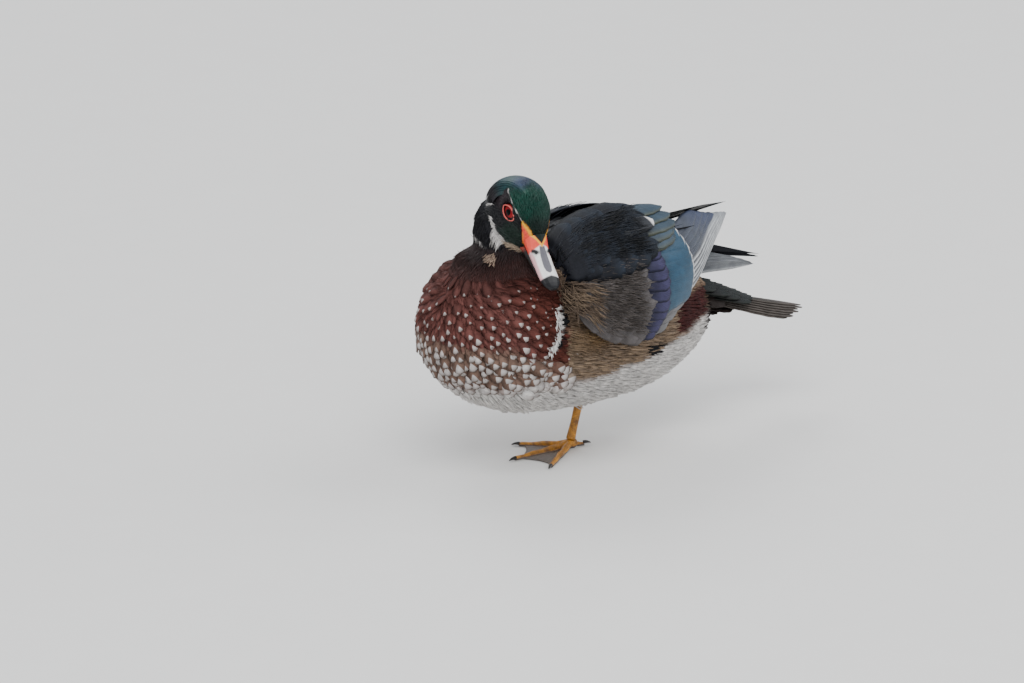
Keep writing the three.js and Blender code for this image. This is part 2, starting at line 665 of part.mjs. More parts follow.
const footRight = new THREE.Group();
footRight.position.set(14, 36, 41.5);
footRight.rotation.set(radians(35), 0, 0, "ZYX");
body.add(footRight);
const closed = webbedFoot(0.34, false);
const shankRightRows = [
  [15, 37.5, 46, 3.4],
  [27, 38.5, 50, 3.0],
  [39, 38.5, 55, 3.2],
  [50, 37, 61, 4.2],
];
const thighRight = thighBall("right", 0).subtract(trunkRoom);
const shankRight = bodyAlongPath(shankRightRows, { rings: 9, sides: 12, flat: 0.8 });
const shankRightRoom = bodyAlongPath(shankRightRows, { rings: 9, sides: 12, flat: 0.8, grow: GAP });
const bodyRoom = trunkRoom.add(thighBall("right", GAP));
const bodyRoomInFoot = placed(bodyRoom.add(shankRightRoom), footRight, true);
add(body, "thigh_right", thighRight, MATERIALS.belly);
add(body, "shank_right", shankRight.subtract(bodyRoom), MATERIALS.legSkin);
add(footRight, "foot_right", closed.foot.subtract(bodyRoomInFoot), MATERIALS.legSkin);
for (const [name, claw] of Object.entries(closed.claws)) {
  add(footRight, `foot_right_claw_${name}`, claw.subtract(bodyRoomInFoot), MATERIALS.claw);
}

export default duck;
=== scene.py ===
"""A wood duck drake at life size, standing on its left leg and preening over its left shoulder.

Shapes are worked out in millimetres from the middle of the body, with the breast to -X, the tail to +X, the
bird's left side to -Y and the floor at z = 0, and are moved to the part's own frame when a mesh is made.
"""
from __future__ import annotations

import json
import logging
import math
from dataclasses import dataclass, field
from enum import Enum
from functools import partial
from typing import Callable, Sequence

import bmesh
import bpy
import numpy as np
from mathutils import Matrix, Vector

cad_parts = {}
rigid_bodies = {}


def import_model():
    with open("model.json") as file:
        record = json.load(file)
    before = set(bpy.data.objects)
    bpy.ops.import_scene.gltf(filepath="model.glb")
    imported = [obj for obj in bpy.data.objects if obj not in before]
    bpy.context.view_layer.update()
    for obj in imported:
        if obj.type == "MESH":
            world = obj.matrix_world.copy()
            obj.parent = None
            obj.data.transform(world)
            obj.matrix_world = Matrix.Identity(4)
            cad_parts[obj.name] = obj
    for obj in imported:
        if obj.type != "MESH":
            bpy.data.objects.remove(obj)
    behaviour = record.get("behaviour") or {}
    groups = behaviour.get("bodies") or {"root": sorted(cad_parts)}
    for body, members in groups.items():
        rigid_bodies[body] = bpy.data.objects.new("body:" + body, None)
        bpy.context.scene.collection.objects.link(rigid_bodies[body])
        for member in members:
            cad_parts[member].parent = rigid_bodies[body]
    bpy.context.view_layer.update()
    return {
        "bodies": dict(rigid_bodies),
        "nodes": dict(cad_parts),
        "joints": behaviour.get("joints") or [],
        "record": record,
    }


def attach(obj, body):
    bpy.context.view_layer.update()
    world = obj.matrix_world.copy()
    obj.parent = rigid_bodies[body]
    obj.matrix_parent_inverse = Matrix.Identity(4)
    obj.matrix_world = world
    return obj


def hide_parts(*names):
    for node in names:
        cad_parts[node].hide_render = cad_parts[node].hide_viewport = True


log = logging.getLogger("wood_duck")

Array = np.ndarray
Colour = tuple[float, float, float]

# The part's origin, in body millimetres
BALL_OF_FOOT = np.array([12.5, 5.5, 0.0])
PER_METRE = 1000
# How much of a coat's baked map one small feather takes
LENGTH_ON_MAP = 0.003


class Side(Enum):
    """The bird's own left and right, as the sign of Y."""

    LEFT = -1
    RIGHT = 1

    @property
    def word(self) -> str:
        """The side's name as the nodes have it."""
        return self.name.lower()


class Outline(Enum):
    """The shape of a feather's tip: where it starts to narrow, and how blunt it is."""

    ROUND = (0.78, 2.2)
    BLADE = (0.6, 2.0)
    POINTED = (0.35, 1.6)
    SQUARE = (0.88, 3.0)


# Helpers


def smooth(x: Array, low: float, high: float) -> Array:
    """A soft step of x from 0 at low to 1 at high."""
    t = np.clip((np.asarray(x, float) - low) / (high - low), 0, 1)
    return t * t * (3 - 2 * t)


def band(x: Array, low: float, high: float, soft: float) -> Array:
    """1 where x lies between low and high, with edges that fade over soft."""
    return smooth(x, low - soft, low + soft) * (1 - smooth(x, high - soft, high + soft))


def blend(a: Array, b: Array | Colour, share: Array) -> Array:
    """Colours a and b mixed, with share of b."""
    share = np.asarray(share, float)[..., None]
    return a * (1 - share) + np.asarray(b, float) * share


def plain(colour: Colour, count: int) -> Array:
    """One colour for each of count points."""
    return np.broadcast_to(np.array(colour, float), (count, 3)).copy()


def unit(v: Array) -> Array:
    """Vectors at length 1."""
    return v / np.maximum(np.linalg.norm(v, axis=-1, keepdims=True), 1e-9)


def ripple(points: Array, size: float, seed: float = 0.0) -> Array:
    """Smooth uneven waves from about -1 to 1 over points, size apart.

    Args:
        points: Where the waves are read.
        size: How far apart they are.
        seed: Which waves they are.

    Returns:
        A number for each point.
    """
    total = np.zeros(points.shape[:-1])
    for k in range(5):
        turn = np.array([math.sin(1.7 * k + seed), math.cos(2.3 * k + seed), math.sin(3.1 * k + 2 + seed)])
        total += np.sin(points @ (turn * (1 + 0.5 * k)) / size + 2.1 * k + seed)
    return total / 3


def along(rows: Sequence[Sequence[float]], t: Array) -> Array:
    """Rows of numbers at t, from 0 to 1, on a smooth curve through a table.

    Args:
        rows: The table.
        t: Where to read it, of any shape.

    Returns:
        The values, with the table's columns as the last axis.
    """
    table = np.asarray(rows, float)
    last = len(table) - 1
    place = np.clip(t, 0, 1) * last
    i = np.minimum(place.astype(int), last - 1)
    u = (place - i)[..., None]
    b, c = table[i], table[i + 1]
    before = np.where((i > 0)[..., None], table[np.maximum(i - 1, 0)], 2 * b - c)
    after = np.where((i + 2 <= last)[..., None], table[np.minimum(i + 2, last)], 2 * c - b)
    m0, m1 = (c - before) / 2, (after - b) / 2
    u2, u3 = u * u, u * u * u
    return b * (2 * u3 - 3 * u2 + 1) + m0 * (u3 - 2 * u2 + u) + c * (3 * u2 - 2 * u3) + m1 * (u3 - u2)


def to_line(points: Array, line: Sequence[Sequence[float]]) -> Array:
    """The distance from each point to a chain of straight pieces.

    Args:
        points: The points.
        line: The corners of the chain.

    Returns:
        A distance for each point.
    """
    best = np.full(points.shape[:-1], 1e9)
    chain = np.asarray(line, float)
    for a, b in zip(chain[:-1], chain[1:]):
        run = b - a
        t = np.clip((points - a) @ run / (run @ run), 0, 1)
        best = np.minimum(best, np.linalg.norm(points - a - t[..., None] * run, axis=-1))
    return best


def on_ball(own: Array, radius: float) -> Array:
    """Points of the head's frame moved straight out or in to a ball round its middle."""
    return own / np.maximum(np.linalg.norm(own, axis=-1, keepdims=True), 1e-6) * radius


def on_tube(points: Array, radius: float = 54.0, height: float = 95.0) -> Array:
    """Points of the body moved out or in to a tube along it.

    Args:
        points: Points in body millimetres.
        radius: The tube's radius.
        height: How high its middle lies.

    Returns:
        The moved points.
    """
    across = points[..., 1:] - np.array([0, height])
    flat = across / np.maximum(np.linalg.norm(across, axis=-1, keepdims=True), 1e-6) * radius
    return np.concatenate([points[..., :1], flat], axis=-1)


# Colours as the bird has them

BLACK = (0.009, 0.010, 0.012)
GREEN = (0.002, 0.052, 0.034)
VIOLET = (0.032, 0.042, 0.100)
CHESTNUT = (0.155, 0.057, 0.048)
MAROON = (0.090, 0.022, 0.015)
DUSKY = (0.050, 0.023, 0.021)
SCALE_BROWN = (0.20, 0.125, 0.095)
RUMP = (0.060, 0.014, 0.013)
WHITE = (0.86, 0.84, 0.82)
BELLY = (0.70, 0.67, 0.64)
CREAM = (0.50, 0.38, 0.27)
GREY_BROWN = (0.13, 0.10, 0.08)
DUSTY = (0.34, 0.30, 0.28)
BUFF = (0.33, 0.235, 0.155)
GOLD = (0.46, 0.30, 0.15)
TEAL = (0.012, 0.062, 0.115)
SILVER = (0.70, 0.72, 0.74)
BILL_RED = (0.82, 0.085, 0.055)
BILL_YELLOW = (0.85, 0.42, 0.03)
BILL_PINK = (0.62, 0.24, 0.27)
LEG = (0.82, 0.35, 0.03)
WEB = (0.16, 0.13, 0.11)
TAIL_ROOT = (0.020, 0.012, 0.011)
NECK_LOW = (0.045, 0.020, 0.018)
NECK_MIDDLE = (0.020, 0.011, 0.011)
NECK_TOP = (0.006, 0.006, 0.009)
FOREHEAD = (0.002, 0.013, 0.009)
SEA_GREEN = (0.010, 0.048, 0.056)
CREST_LOW = (0.010, 0.008, 0.011)
FACE = (0.006, 0.006, 0.008)
CHEEK_GREEN = (0.004, 0.022, 0.012)
BEHIND_EYE = (0.020, 0.011, 0.015)
SIDE_BROWN = (0.15, 0.105, 0.075)
TUFT = (0.50, 0.37, 0.28)
SCALE_TIP = (0.58, 0.54, 0.52)
SPOT = (0.60, 0.54, 0.52)
RIDGE = (0.12, 0.115, 0.135)
NAIL = (0.008, 0.008, 0.010)
FOREHEAD_EDGE = (0.002, 0.010, 0.007)
BILL_BLACK = (0.02, 0.018, 0.018)
BILL_ROOT = (0.35, 0.06, 0.04)
IRIS = (0.22, 0.010, 0.014)
IRIS_EDGE = (0.34, 0.03, 0.03)
PUPIL = (0.001, 0.001, 0.001)
LID = (0.62, 0.13, 0.11)
LID_EDGE = (0.35, 0.03, 0.03)
LEG_DARK = (0.34, 0.15, 0.03)
CLAW = (0.02, 0.016, 0.014)


# Meshes


def mesh_object(
    name: str, points: Array, faces: list, uvs: dict[str, Array] | None = None
) -> bpy.types.Object:
    """A mesh in the scene from points in body millimetres.

    Args:
        name: The object's name.
        points: Its points.
        faces: Its faces, as tuples of point numbers.
        uvs: Maps by name, one pair of numbers for each point.

    Returns:
        The new object, at the origin.
    """
    mesh = bpy.data.meshes.new(name)
    mesh.from_pydata(((points - BALL_OF_FOOT) / PER_METRE).tolist(), [], faces)
    mesh.update()
    mesh.shade_smooth()
    corner_points = np.empty(len(mesh.loops), dtype=np.int32)
    mesh.loops.foreach_get("vertex_index", corner_points)
    for map_name, pairs in (uvs or {}).items():
        layer = mesh.uv_layers.new(name=map_name)
        layer.uv.foreach_set("vector", pairs[corner_points].astype(np.float32).ravel())
    made = bpy.data.objects.new(name, mesh)
    bpy.context.scene.collection.objects.link(made)
    return made


def tint(made: bpy.types.Object, colours: Array, name: str = "Tint") -> None:
    """Puts one colour for each point on a mesh.

    Args:
        made: The object.
        colours: One colour for each point.
        name: The attribute's name.
    """
    values = np.ones((len(colours), 4), dtype=np.float32)
    values[:, :3] = np.clip(colours, 0, 1)
    attribute = made.data.color_attributes.new(name, "FLOAT_COLOR", "POINT")
    attribute.data.foreach_set("color", values.ravel())


def measure(made: bpy.types.Object, name: str, kind: str, values: Array) -> None:
    """Puts a number or a vector for each point on a mesh."""
    attribute = made.data.attributes.new(name, kind, "POINT")
    attribute.data.foreach_set("value" if kind == "FLOAT" else "vector", values.astype(np.float32).ravel())


def body_points(mesh: bpy.types.Mesh) -> Array:
    """A mesh's points in body millimetres.

    Args:
        mesh: The mesh.

    Returns:
        The points, one to a row.
    """
    flat = np.empty(len(mesh.vertices) * 3, dtype=np.float32)
    mesh.vertices.foreach_get("co", flat)
    return flat.reshape(-1, 3).astype(float) * PER_METRE + BALL_OF_FOOT


def point_normals(mesh: bpy.types.Mesh) -> Array:
    """A mesh's normals at its points.

    Args:
        mesh: The mesh.

    Returns:
        The normals, one to a row.
    """
    flat = np.empty(len(mesh.vertices) * 3, dtype=np.float32)
    mesh.vertex_normals.foreach_get("vector", flat)
    return flat.reshape(-1, 3).astype(float)


def remade(
    name: str, sources: Sequence[bpy.types.Object], voxel: float, smoothing: int, swell: float = 0.0
) -> bpy.types.Object:
    """One smooth closed mesh round several solids.

    Args:
        name: The new object's name.
        sources: The solids.
        voxel: The size of its faces, in metres.
        smoothing: How many times its points are evened out.
        swell: How far each solid grows before they join, in metres.

    Returns:
        The new object, with its modifiers made real.
    """
    joined = bmesh.new()
    for source in sources:
        one = bmesh.new()
        one.from_mesh(source.data)
        bmesh.ops.remove_doubles(one, verts=one.verts, dist=1e-6)
        one.normal_update()
        for vertex in one.verts:
            vertex.co += vertex.normal * swell
        copied = bpy.data.meshes.new("part")
        one.to_mesh(copied)
        one.free()
        joined.from_mesh(copied)
        bpy.data.meshes.remove(copied)
    mesh = bpy.data.meshes.new(name)
    joined.to_mesh(mesh)
    joined.free()
    rough = bpy.data.objects.new(name + "_rough", mesh)
    bpy.context.scene.collection.objects.link(rough)
    remesh = rough.modifiers.new("Remesh", "REMESH")
    remesh.mode = "VOXEL"
    remesh.voxel_size = voxel
    if smoothing:
        even = rough.modifiers.new("Even", "SMOOTH")
        even.factor = 0.5
        even.iterations = smoothing
    result = bpy.data.meshes.new_from_object(rough.evaluated_get(bpy.context.evaluated_depsgraph_get()))
    result.name = name
    result.shade_smooth()
    bpy.data.objects.remove(rough)
    made = bpy.data.objects.new(name, result)
    bpy.context.scene.collection.objects.link(made)
    return made


# Finishes


class Tree:
    """A node tree, with one short call that adds a node and fills its inputs."""

    def __init__(self, tree: bpy.types.NodeTree) -> None:
        """Keeps the tree that nodes are added to."""
        self.tree = tree

    def node(
        self, kind: str, inputs: dict[str | int, object] | None = None, **options: object
    ) -> bpy.types.Node:
        """Adds a node.

        Args:
            kind: The node's type.
            inputs: What its inputs get, by name or number: a value or another node's output.
            options: Its own options by name.

        Returns:
            The node.
        """
        made = self.tree.nodes.new(kind)
        for key, value in options.items():
            setattr(made, key, value)
        for key, value in (inputs or {}).items():
            if isinstance(value, bpy.types.NodeSocket):
                self.tree.links.new(value, made.inputs[key])
            else:
                made.inputs[key].default_value = value
        return made

    def math(self, operation: str, *values: object) -> bpy.types.NodeSocket:
        """One step of arithmetic on numbers or outputs."""
        return self.node("ShaderNodeMath", dict(enumerate(values)), operation=operation).outputs[0]


class Nodes(Tree):
    """A material's node tree, with short calls for what its finishes share."""

    def __init__(self, name: str) -> None:
        """Starts a material with an empty tree.

        Args:
            name: The material's name.
        """
        self.material = bpy.data.materials.new(name)
        self.material.use_nodes = True
        super().__init__(self.material.node_tree)
        self.tree.nodes.clear()

    def step(self, value: object, low: float, high: float) -> bpy.types.NodeSocket:
        """A soft step of value from 0 at low to 1 at high."""
        inputs = {0: value, 1: low, 2: high}
        return self.node("ShaderNodeMapRange", inputs, interpolation_type="SMOOTHSTEP").outputs[0]

    def mix(self, share: object, a: object, b: object, mode: str = "MIX") -> bpy.types.NodeSocket:
        """Two colours mixed.

        Args:
            share: How much of b shows.
            a: The first colour.
            b: The second colour.
            mode: How they are mixed.

        Returns:
            The node's output.
        """
        inputs = {0: share, 6: a, 7: b}
        for key, value in inputs.items():
            if isinstance(value, tuple):
                inputs[key] = (*value, 1.0)
        return self.node("ShaderNodeMix", inputs, data_type="RGBA", blend_type=mode).outputs[2]

    def colour(self, name: str) -> bpy.types.NodeSocket:
        """The colours of a named attribute."""
        return self.node("ShaderNodeAttribute", attribute_name=name).outputs["Color"]

    def number(self, name: str) -> bpy.types.NodeSocket:
        """The numbers of a named attribute."""
        return self.node("ShaderNodeAttribute", attribute_name=name).outputs["Fac"]

    def noise(self, vector: object, scale: float, detail: float = 2.0) -> bpy.types.NodeSocket:
        """Noise over a vector."""
        inputs = {"Vector": vector, "Scale": scale, "Detail": detail}
        return self.node("ShaderNodeTexNoise", inputs).outputs["Fac"]

    def place(self) -> bpy.types.NodeSocket:
        """Object coordinates."""
        return self.node("ShaderNodeTexCoord").outputs["Object"]

    def surface(
        self, colour: object, bump: object, strength: float, depth: float, **levels: float
    ) -> bpy.types.Material:
        """Ends the tree in a shader.

        Args:
            colour: The base colour.
            bump: The height of its relief.
            strength: How strongly the relief shows.
            depth: How deep it is, in metres.
            levels: The shader's other inputs, by name with _ for a space.

        Returns:
            The finished material.
        """
        relief = self.node("ShaderNodeBump", {"Strength": strength, "Distance": depth, "Height": bump})
        inputs = {key.replace("_", " "): value for key, value in levels.items()}
        inputs.update({"Base Color": colour, "Normal": relief.outputs[0]})
        shader = self.node("ShaderNodeBsdfPrincipled", inputs)
        self.node("ShaderNodeOutputMaterial", {0: shader.outputs[0]})
        return self.material


@dataclass(frozen=True)
class FeatherFinish:
    """Feathers coloured by their points, with barbs to each side of a shaft and a marked tip."""

    name: str
    roughness: float
    specular: float = 0.2
    barbs: float = 60.0
    relief: float = 0.35
    marked_tip: bool = True

    def material(self) -> bpy.types.Material:
        """Builds the material.

        Returns:
            The new material.
        """
        n = Nodes(self.name)
        split = n.node("ShaderNodeSeparateXYZ", {0: n.node("ShaderNodeUVMap", uv_map="Vane").outputs[0]})
        run, side = split.outputs[0], n.math("ABSOLUTE", n.math("SUBTRACT", split.outputs[1], 0.5))
        colour = n.colour("Tint")
        if self.marked_tip:
            reach = n.math("ADD", n.math("SUBTRACT", run, 1.0), n.number("TipShare"))
            dome = n.math("MULTIPLY", n.math("POWER", side, 1.3), 1.5)
            spot = n.step(n.math("SUBTRACT", reach, dome), 0.0, 0.05)
            spot = n.math("MULTIPLY", spot, n.step(side, 0.44, 0.34))
            marked = n.mix(n.step(run, 0.72, 0.98), n.colour("TipTint"), DUSTY)
            spot = n.math("MULTIPLY", spot, n.step(run, 1.02, 0.93))
            colour = n.mix(spot, colour, marked)
            fringe = n.math("MAXIMUM", n.step(run, 0.90, 0.98), n.step(side, 0.42, 0.49))
            colour = n.mix(n.math("MULTIPLY", fringe, n.number("Rim")), colour, GREY_BROWN)
        slant = n.math("SUBTRACT", run, n.math("MULTIPLY", side, 0.55))
        stretched = {0: n.math("MULTIPLY", slant, self.barbs), 1: n.math("MULTIPLY", side, 3.0)}
        joined = n.node("ShaderNodeCombineXYZ", stretched)
        barb = n.noise(joined.outputs[0], 1.0, 3.0)
        shaft = n.step(side, 0.035, 0.0)
        patch = n.noise(n.place(), 160.0)
        shade = n.math("ADD", n.math("MULTIPLY", barb, 0.7), n.math("MULTIPLY", patch, 0.5))
        dark = n.mix(n.step(shade, 0.75, 0.45), (1.0, 1.0, 1.0), (0.62, 0.62, 0.62))
        colour = n.mix(1.0, colour, dark, "MULTIPLY")
        height = n.math("ADD", barb, n.math("MULTIPLY", shaft, 1.2))
        return n.surface(
            colour, height, self.relief, 0.0004, Roughness=self.roughness, Specular_IOR_Level=self.specular
        )


@dataclass(frozen=True)
class SoftFinish:
    """A surface coloured by its points, with fine grain in object space: skin, horn or down."""

    name: str
    roughness: float
    grain: float
    relief: float
    scales: float = 0.0
    coat: float = 0.0
    variation: float = 0.25
    specular: float = 0.5

    def material(self) -> bpy.types.Material:
        """Builds the material.

        Returns:
            The new material.
        """
        n = Nodes(self.name)
        place = n.place()
        grain = n.noise(place, self.grain, 4.0)
        low = 1 - self.variation
        shade = n.mix(n.step(grain, 0.35, 0.65), (low, low, low), (1.0, 1.0, 1.0))
        height = grain
        if self.scales:
            inputs = {"Vector": place, "Scale": self.scales}
            cells = n.node("ShaderNodeTexVoronoi", inputs, feature="DISTANCE_TO_EDGE")
            edge = n.step(cells.outputs["Distance"], 0.0, 0.12)
            shade = n.mix(1.0, shade, n.mix(edge, (0.5, 0.45, 0.4), (1.0, 1.0, 1.0)), "MULTIPLY")
            height = n.math("ADD", n.math("MULTIPLY", grain, 0.4), edge)
        colour = n.mix(1.0, n.colour("Tint"), shade, "MULTIPLY")
        return n.surface(
            colour, height, self.relief, 0.0003, Roughness=self.roughness, Coat_Weight=self.coat,
            Coat_Roughness=0.1, Specular_IOR_Level=self.specular,
        )


@dataclass(frozen=True)
class PlainFinish:
    """One colour with a faint grain, for the floor."""

    name: str
    colour: Colour
    roughness: float

    def material(self) -> bpy.types.Material:
        """Builds the material.

        Returns:
            The new material.
        """
        n = Nodes(self.name)
        grain = n.noise(n.place(), 30.0)
        colour = n.mix(grain, tuple(0.97 * c for c in self.colour), self.colour)
        return n.surface(colour, grain, 0.02, 0.0005, Roughness=self.roughness)


# Sheets that feathers lie on


class Sheet:
    """A curved surface with coordinates a and b, and a height h above it."""

    def spot(self, a: Array, b: Array) -> Array:
        """The point of the surface at a and b."""
        raise NotImplementedError

    def outward(self, at: Array) -> Array:
        """A direction that points away from the body at a point."""
        raise NotImplementedError

    def at(self, a: Array, b: Array, h: Array | float = 0.0) -> Array:
        """The point h above the surface at a and b.

        Args:
            a: Shares along the surface.
            b: Shares across it.
            h: How high above it, in millimetres.

        Returns:
            Points in body millimetres.
        """
        step = 1e-3
        here = self.spot(a, b)
        normal = unit(np.cross(self.spot(a + step, b) - here, self.spot(a, b + step) - here))
        facing = np.sign(np.sum(normal * self.outward(here), axis=-1, keepdims=True))
        return here + normal * facing * np.asarray(h)[..., None]


@dataclass
class WingSheet(Sheet):
    """A folded wing between its lower and its upper edge, from the wrist to the tip."""

    side: Side
    lower: tuple
    upper: tuple
    bulge: tuple

    @classmethod
    def folded(cls, side: Side) -> WingSheet:
        """One wing's sheet: the left as in the photo, the right folded a little lower.

        Args:
            side: Which wing.

        Returns:
            The sheet, with its edges from the wrist to the tip and its bulge between them.
        """
        if side is Side.LEFT:
            return cls(
                side,
                ((-32, -54, 114), (-12, -59, 99), (18, -59, 91), (52, -50, 96), (87, -31, 101),
                 (125, -2, 112), (160, 22, 131)),
                ((-32, -28, 146), (-8, -17, 156), (22, -12, 160), (55, -8, 158), (88, -3, 154),
                 (119, 7, 151), (157, 21, 141)),
                ((6,), (13,), (16,), (15,), (10,), (4,), (0,)),
            )
        return cls(
            side,
            ((-32, 54, 114), (-12, 59, 99), (18, 59, 88), (54, 52, 85), (90, 41, 86), (134, 27, 89),
             (184, 19, 90)),
            ((-32, 30, 139), (-8, 19, 149), (22, 13, 156), (55, 9, 151), (90, 8, 134), (130, 10, 117),
             (180, 15, 102)),
            ((5,), (10,), (14,), (15,), (10,), (4,), (0,)),
        )

    def spot(self, a: Array, b: Array) -> Array:
        """The point of the surface at a and b.

        Args:
            a: Shares along the surface.
            b: Shares across it.

        Returns:
            Points in body millimetres.
        """
        low, high = along(self.lower, a), along(self.upper, a)
        run = along(self.lower, np.minimum(a + 0.02, 1)) - along(self.lower, np.maximum(a - 0.02, 0))
        out = unit(np.cross(run, high - low))
        out = out * np.sign(out @ np.array([0, self.side.value, 0.6]))[..., None]
        b = np.asarray(b)[..., None]
        return low * (1 - b) + high * b + out * along(self.bulge, a) * 4 * b * (1 - b)

    def outward(self, at: Array) -> Array:
        """Away from the bird's side."""
        return np.array([0, self.side.value, 0.6])


@dataclass
class TailSheet(Sheet):
    """The tail's upper surface, in shares of its length, arched across."""

    root: tuple = (96, 0, 97)
    droop: float = 16.8
    length: float = 114.0

    @property
    def down(self) -> float:
        """The droop in radians."""
        return math.radians(self.droop)

    def spot(self, a: Array, b: Array) -> Array:
        """The point of the surface at a and b.

        Args:
            a: Shares along the surface.
            b: Shares across it.

        Returns:
            Points in body millimetres.
        """
        run = np.array([math.cos(self.down), 0, -math.sin(self.down)])
        up = np.array([math.sin(self.down), 0, math.cos(self.down)])
        a, b = np.asarray(a)[..., None] * self.length, np.asarray(b)[..., None] * self.length
        return np.array(self.root) + run * a - up * b**2 / 100 + np.array([0, 1, 0]) * b

    def outward(self, at: Array) -> Array:
        """Up from the tail."""
        return np.array([math.sin(self.down), 0, math.cos(self.down)])


@dataclass(frozen=True)
class HeadPose:
    """Where the head is and how it is turned. Its own frame is ahead, right and up."""

    at: tuple = (-46, -20.2, 180.5)
    turn: float = 88.0
    bow: float = 40.6
    roll: float = 11.8

    @property
    def axes(self) -> Array:
        """Ahead, right and up as rows, in the body's frame.

        Returns:
            Three rows of length 1.
        """
        turn, bow, roll = (math.radians(v) for v in (self.turn, -self.bow, self.roll))
        about_z = [[math.cos(turn), -math.sin(turn), 0], [math.sin(turn), math.cos(turn), 0], [0, 0, 1]]
        about_y = [[math.cos(bow), 0, math.sin(bow)], [0, 1, 0], [-math.sin(bow), 0, math.cos(bow)]]
        about_x = [[1, 0, 0], [0, math.cos(roll), -math.sin(roll)], [0, math.sin(roll), math.cos(roll)]]
        own = np.array(about_z) @ np.array(about_y) @ np.array(about_x)
        return np.array([-own[:, 0], own[:, 1], own[:, 2]])

    def own(self, points: Array) -> Array:
        """Body points in the head's frame."""
        return (points - np.array(self.at)) @ self.axes.T

    def out(self, points: Array) -> Array:
        """Head points in the body's frame."""
        return np.asarray(points, float) @ self.axes + np.array(self.at)


@dataclass
class CrestSheet(Sheet):
    """The surface that the crest lies on, from the crown at a = 0 over the nape."""

    pose: HeadPose = field(default_factory=HeadPose)

    def spot(self, a: Array, b: Array) -> Array:
        """The point of the surface at a and b.

        Args:
            a: Shares along the surface.
            b: Shares across it.

        Returns:
            Points in body millimetres.
        """
        turn = np.radians(-6 + 154 * a)
        reach = 15.5 + 1.5 * a
        angle = np.radians(50 + 22 * a) * (2 * b - 1)
        back = 4 + 17 * np.sin(turn) + 8 * a
        up = 1.5 + 15.5 * np.cos(turn) - 6.5 * a
        inward = reach * (1 - np.cos(angle))
        ahead = -(back - inward * np.sin(turn))
        right = reach * np.sin(angle) * 1.12
        own = np.stack([ahead, right, up - inward * np.cos(turn)], axis=-1)
        return self.pose.out(own)

    def outward(self, at: Array) -> Array:
        """Away from the middle of the skull."""
        return at - self.pose.out(np.array([-6.0, 0.0, 3.0]))


# Vanes

Paint = Callable[[Array, Array, float], Array]


@dataclass
class Vane:
    """One long feather on a sheet, from its root to its tip."""

    root: tuple[float, float]
    tip: tuple[float, float]
    width: float
    height: float
    paint: Paint
    outline: Outline = Outline.ROUND
    sink: float = 2.0
    tilt: float = 0.08
    thick: float = 0.35
    shaft: float = 0.0
    number: float = 0.0
    ragged: float = 0.0
    sides_down: float = 0.0


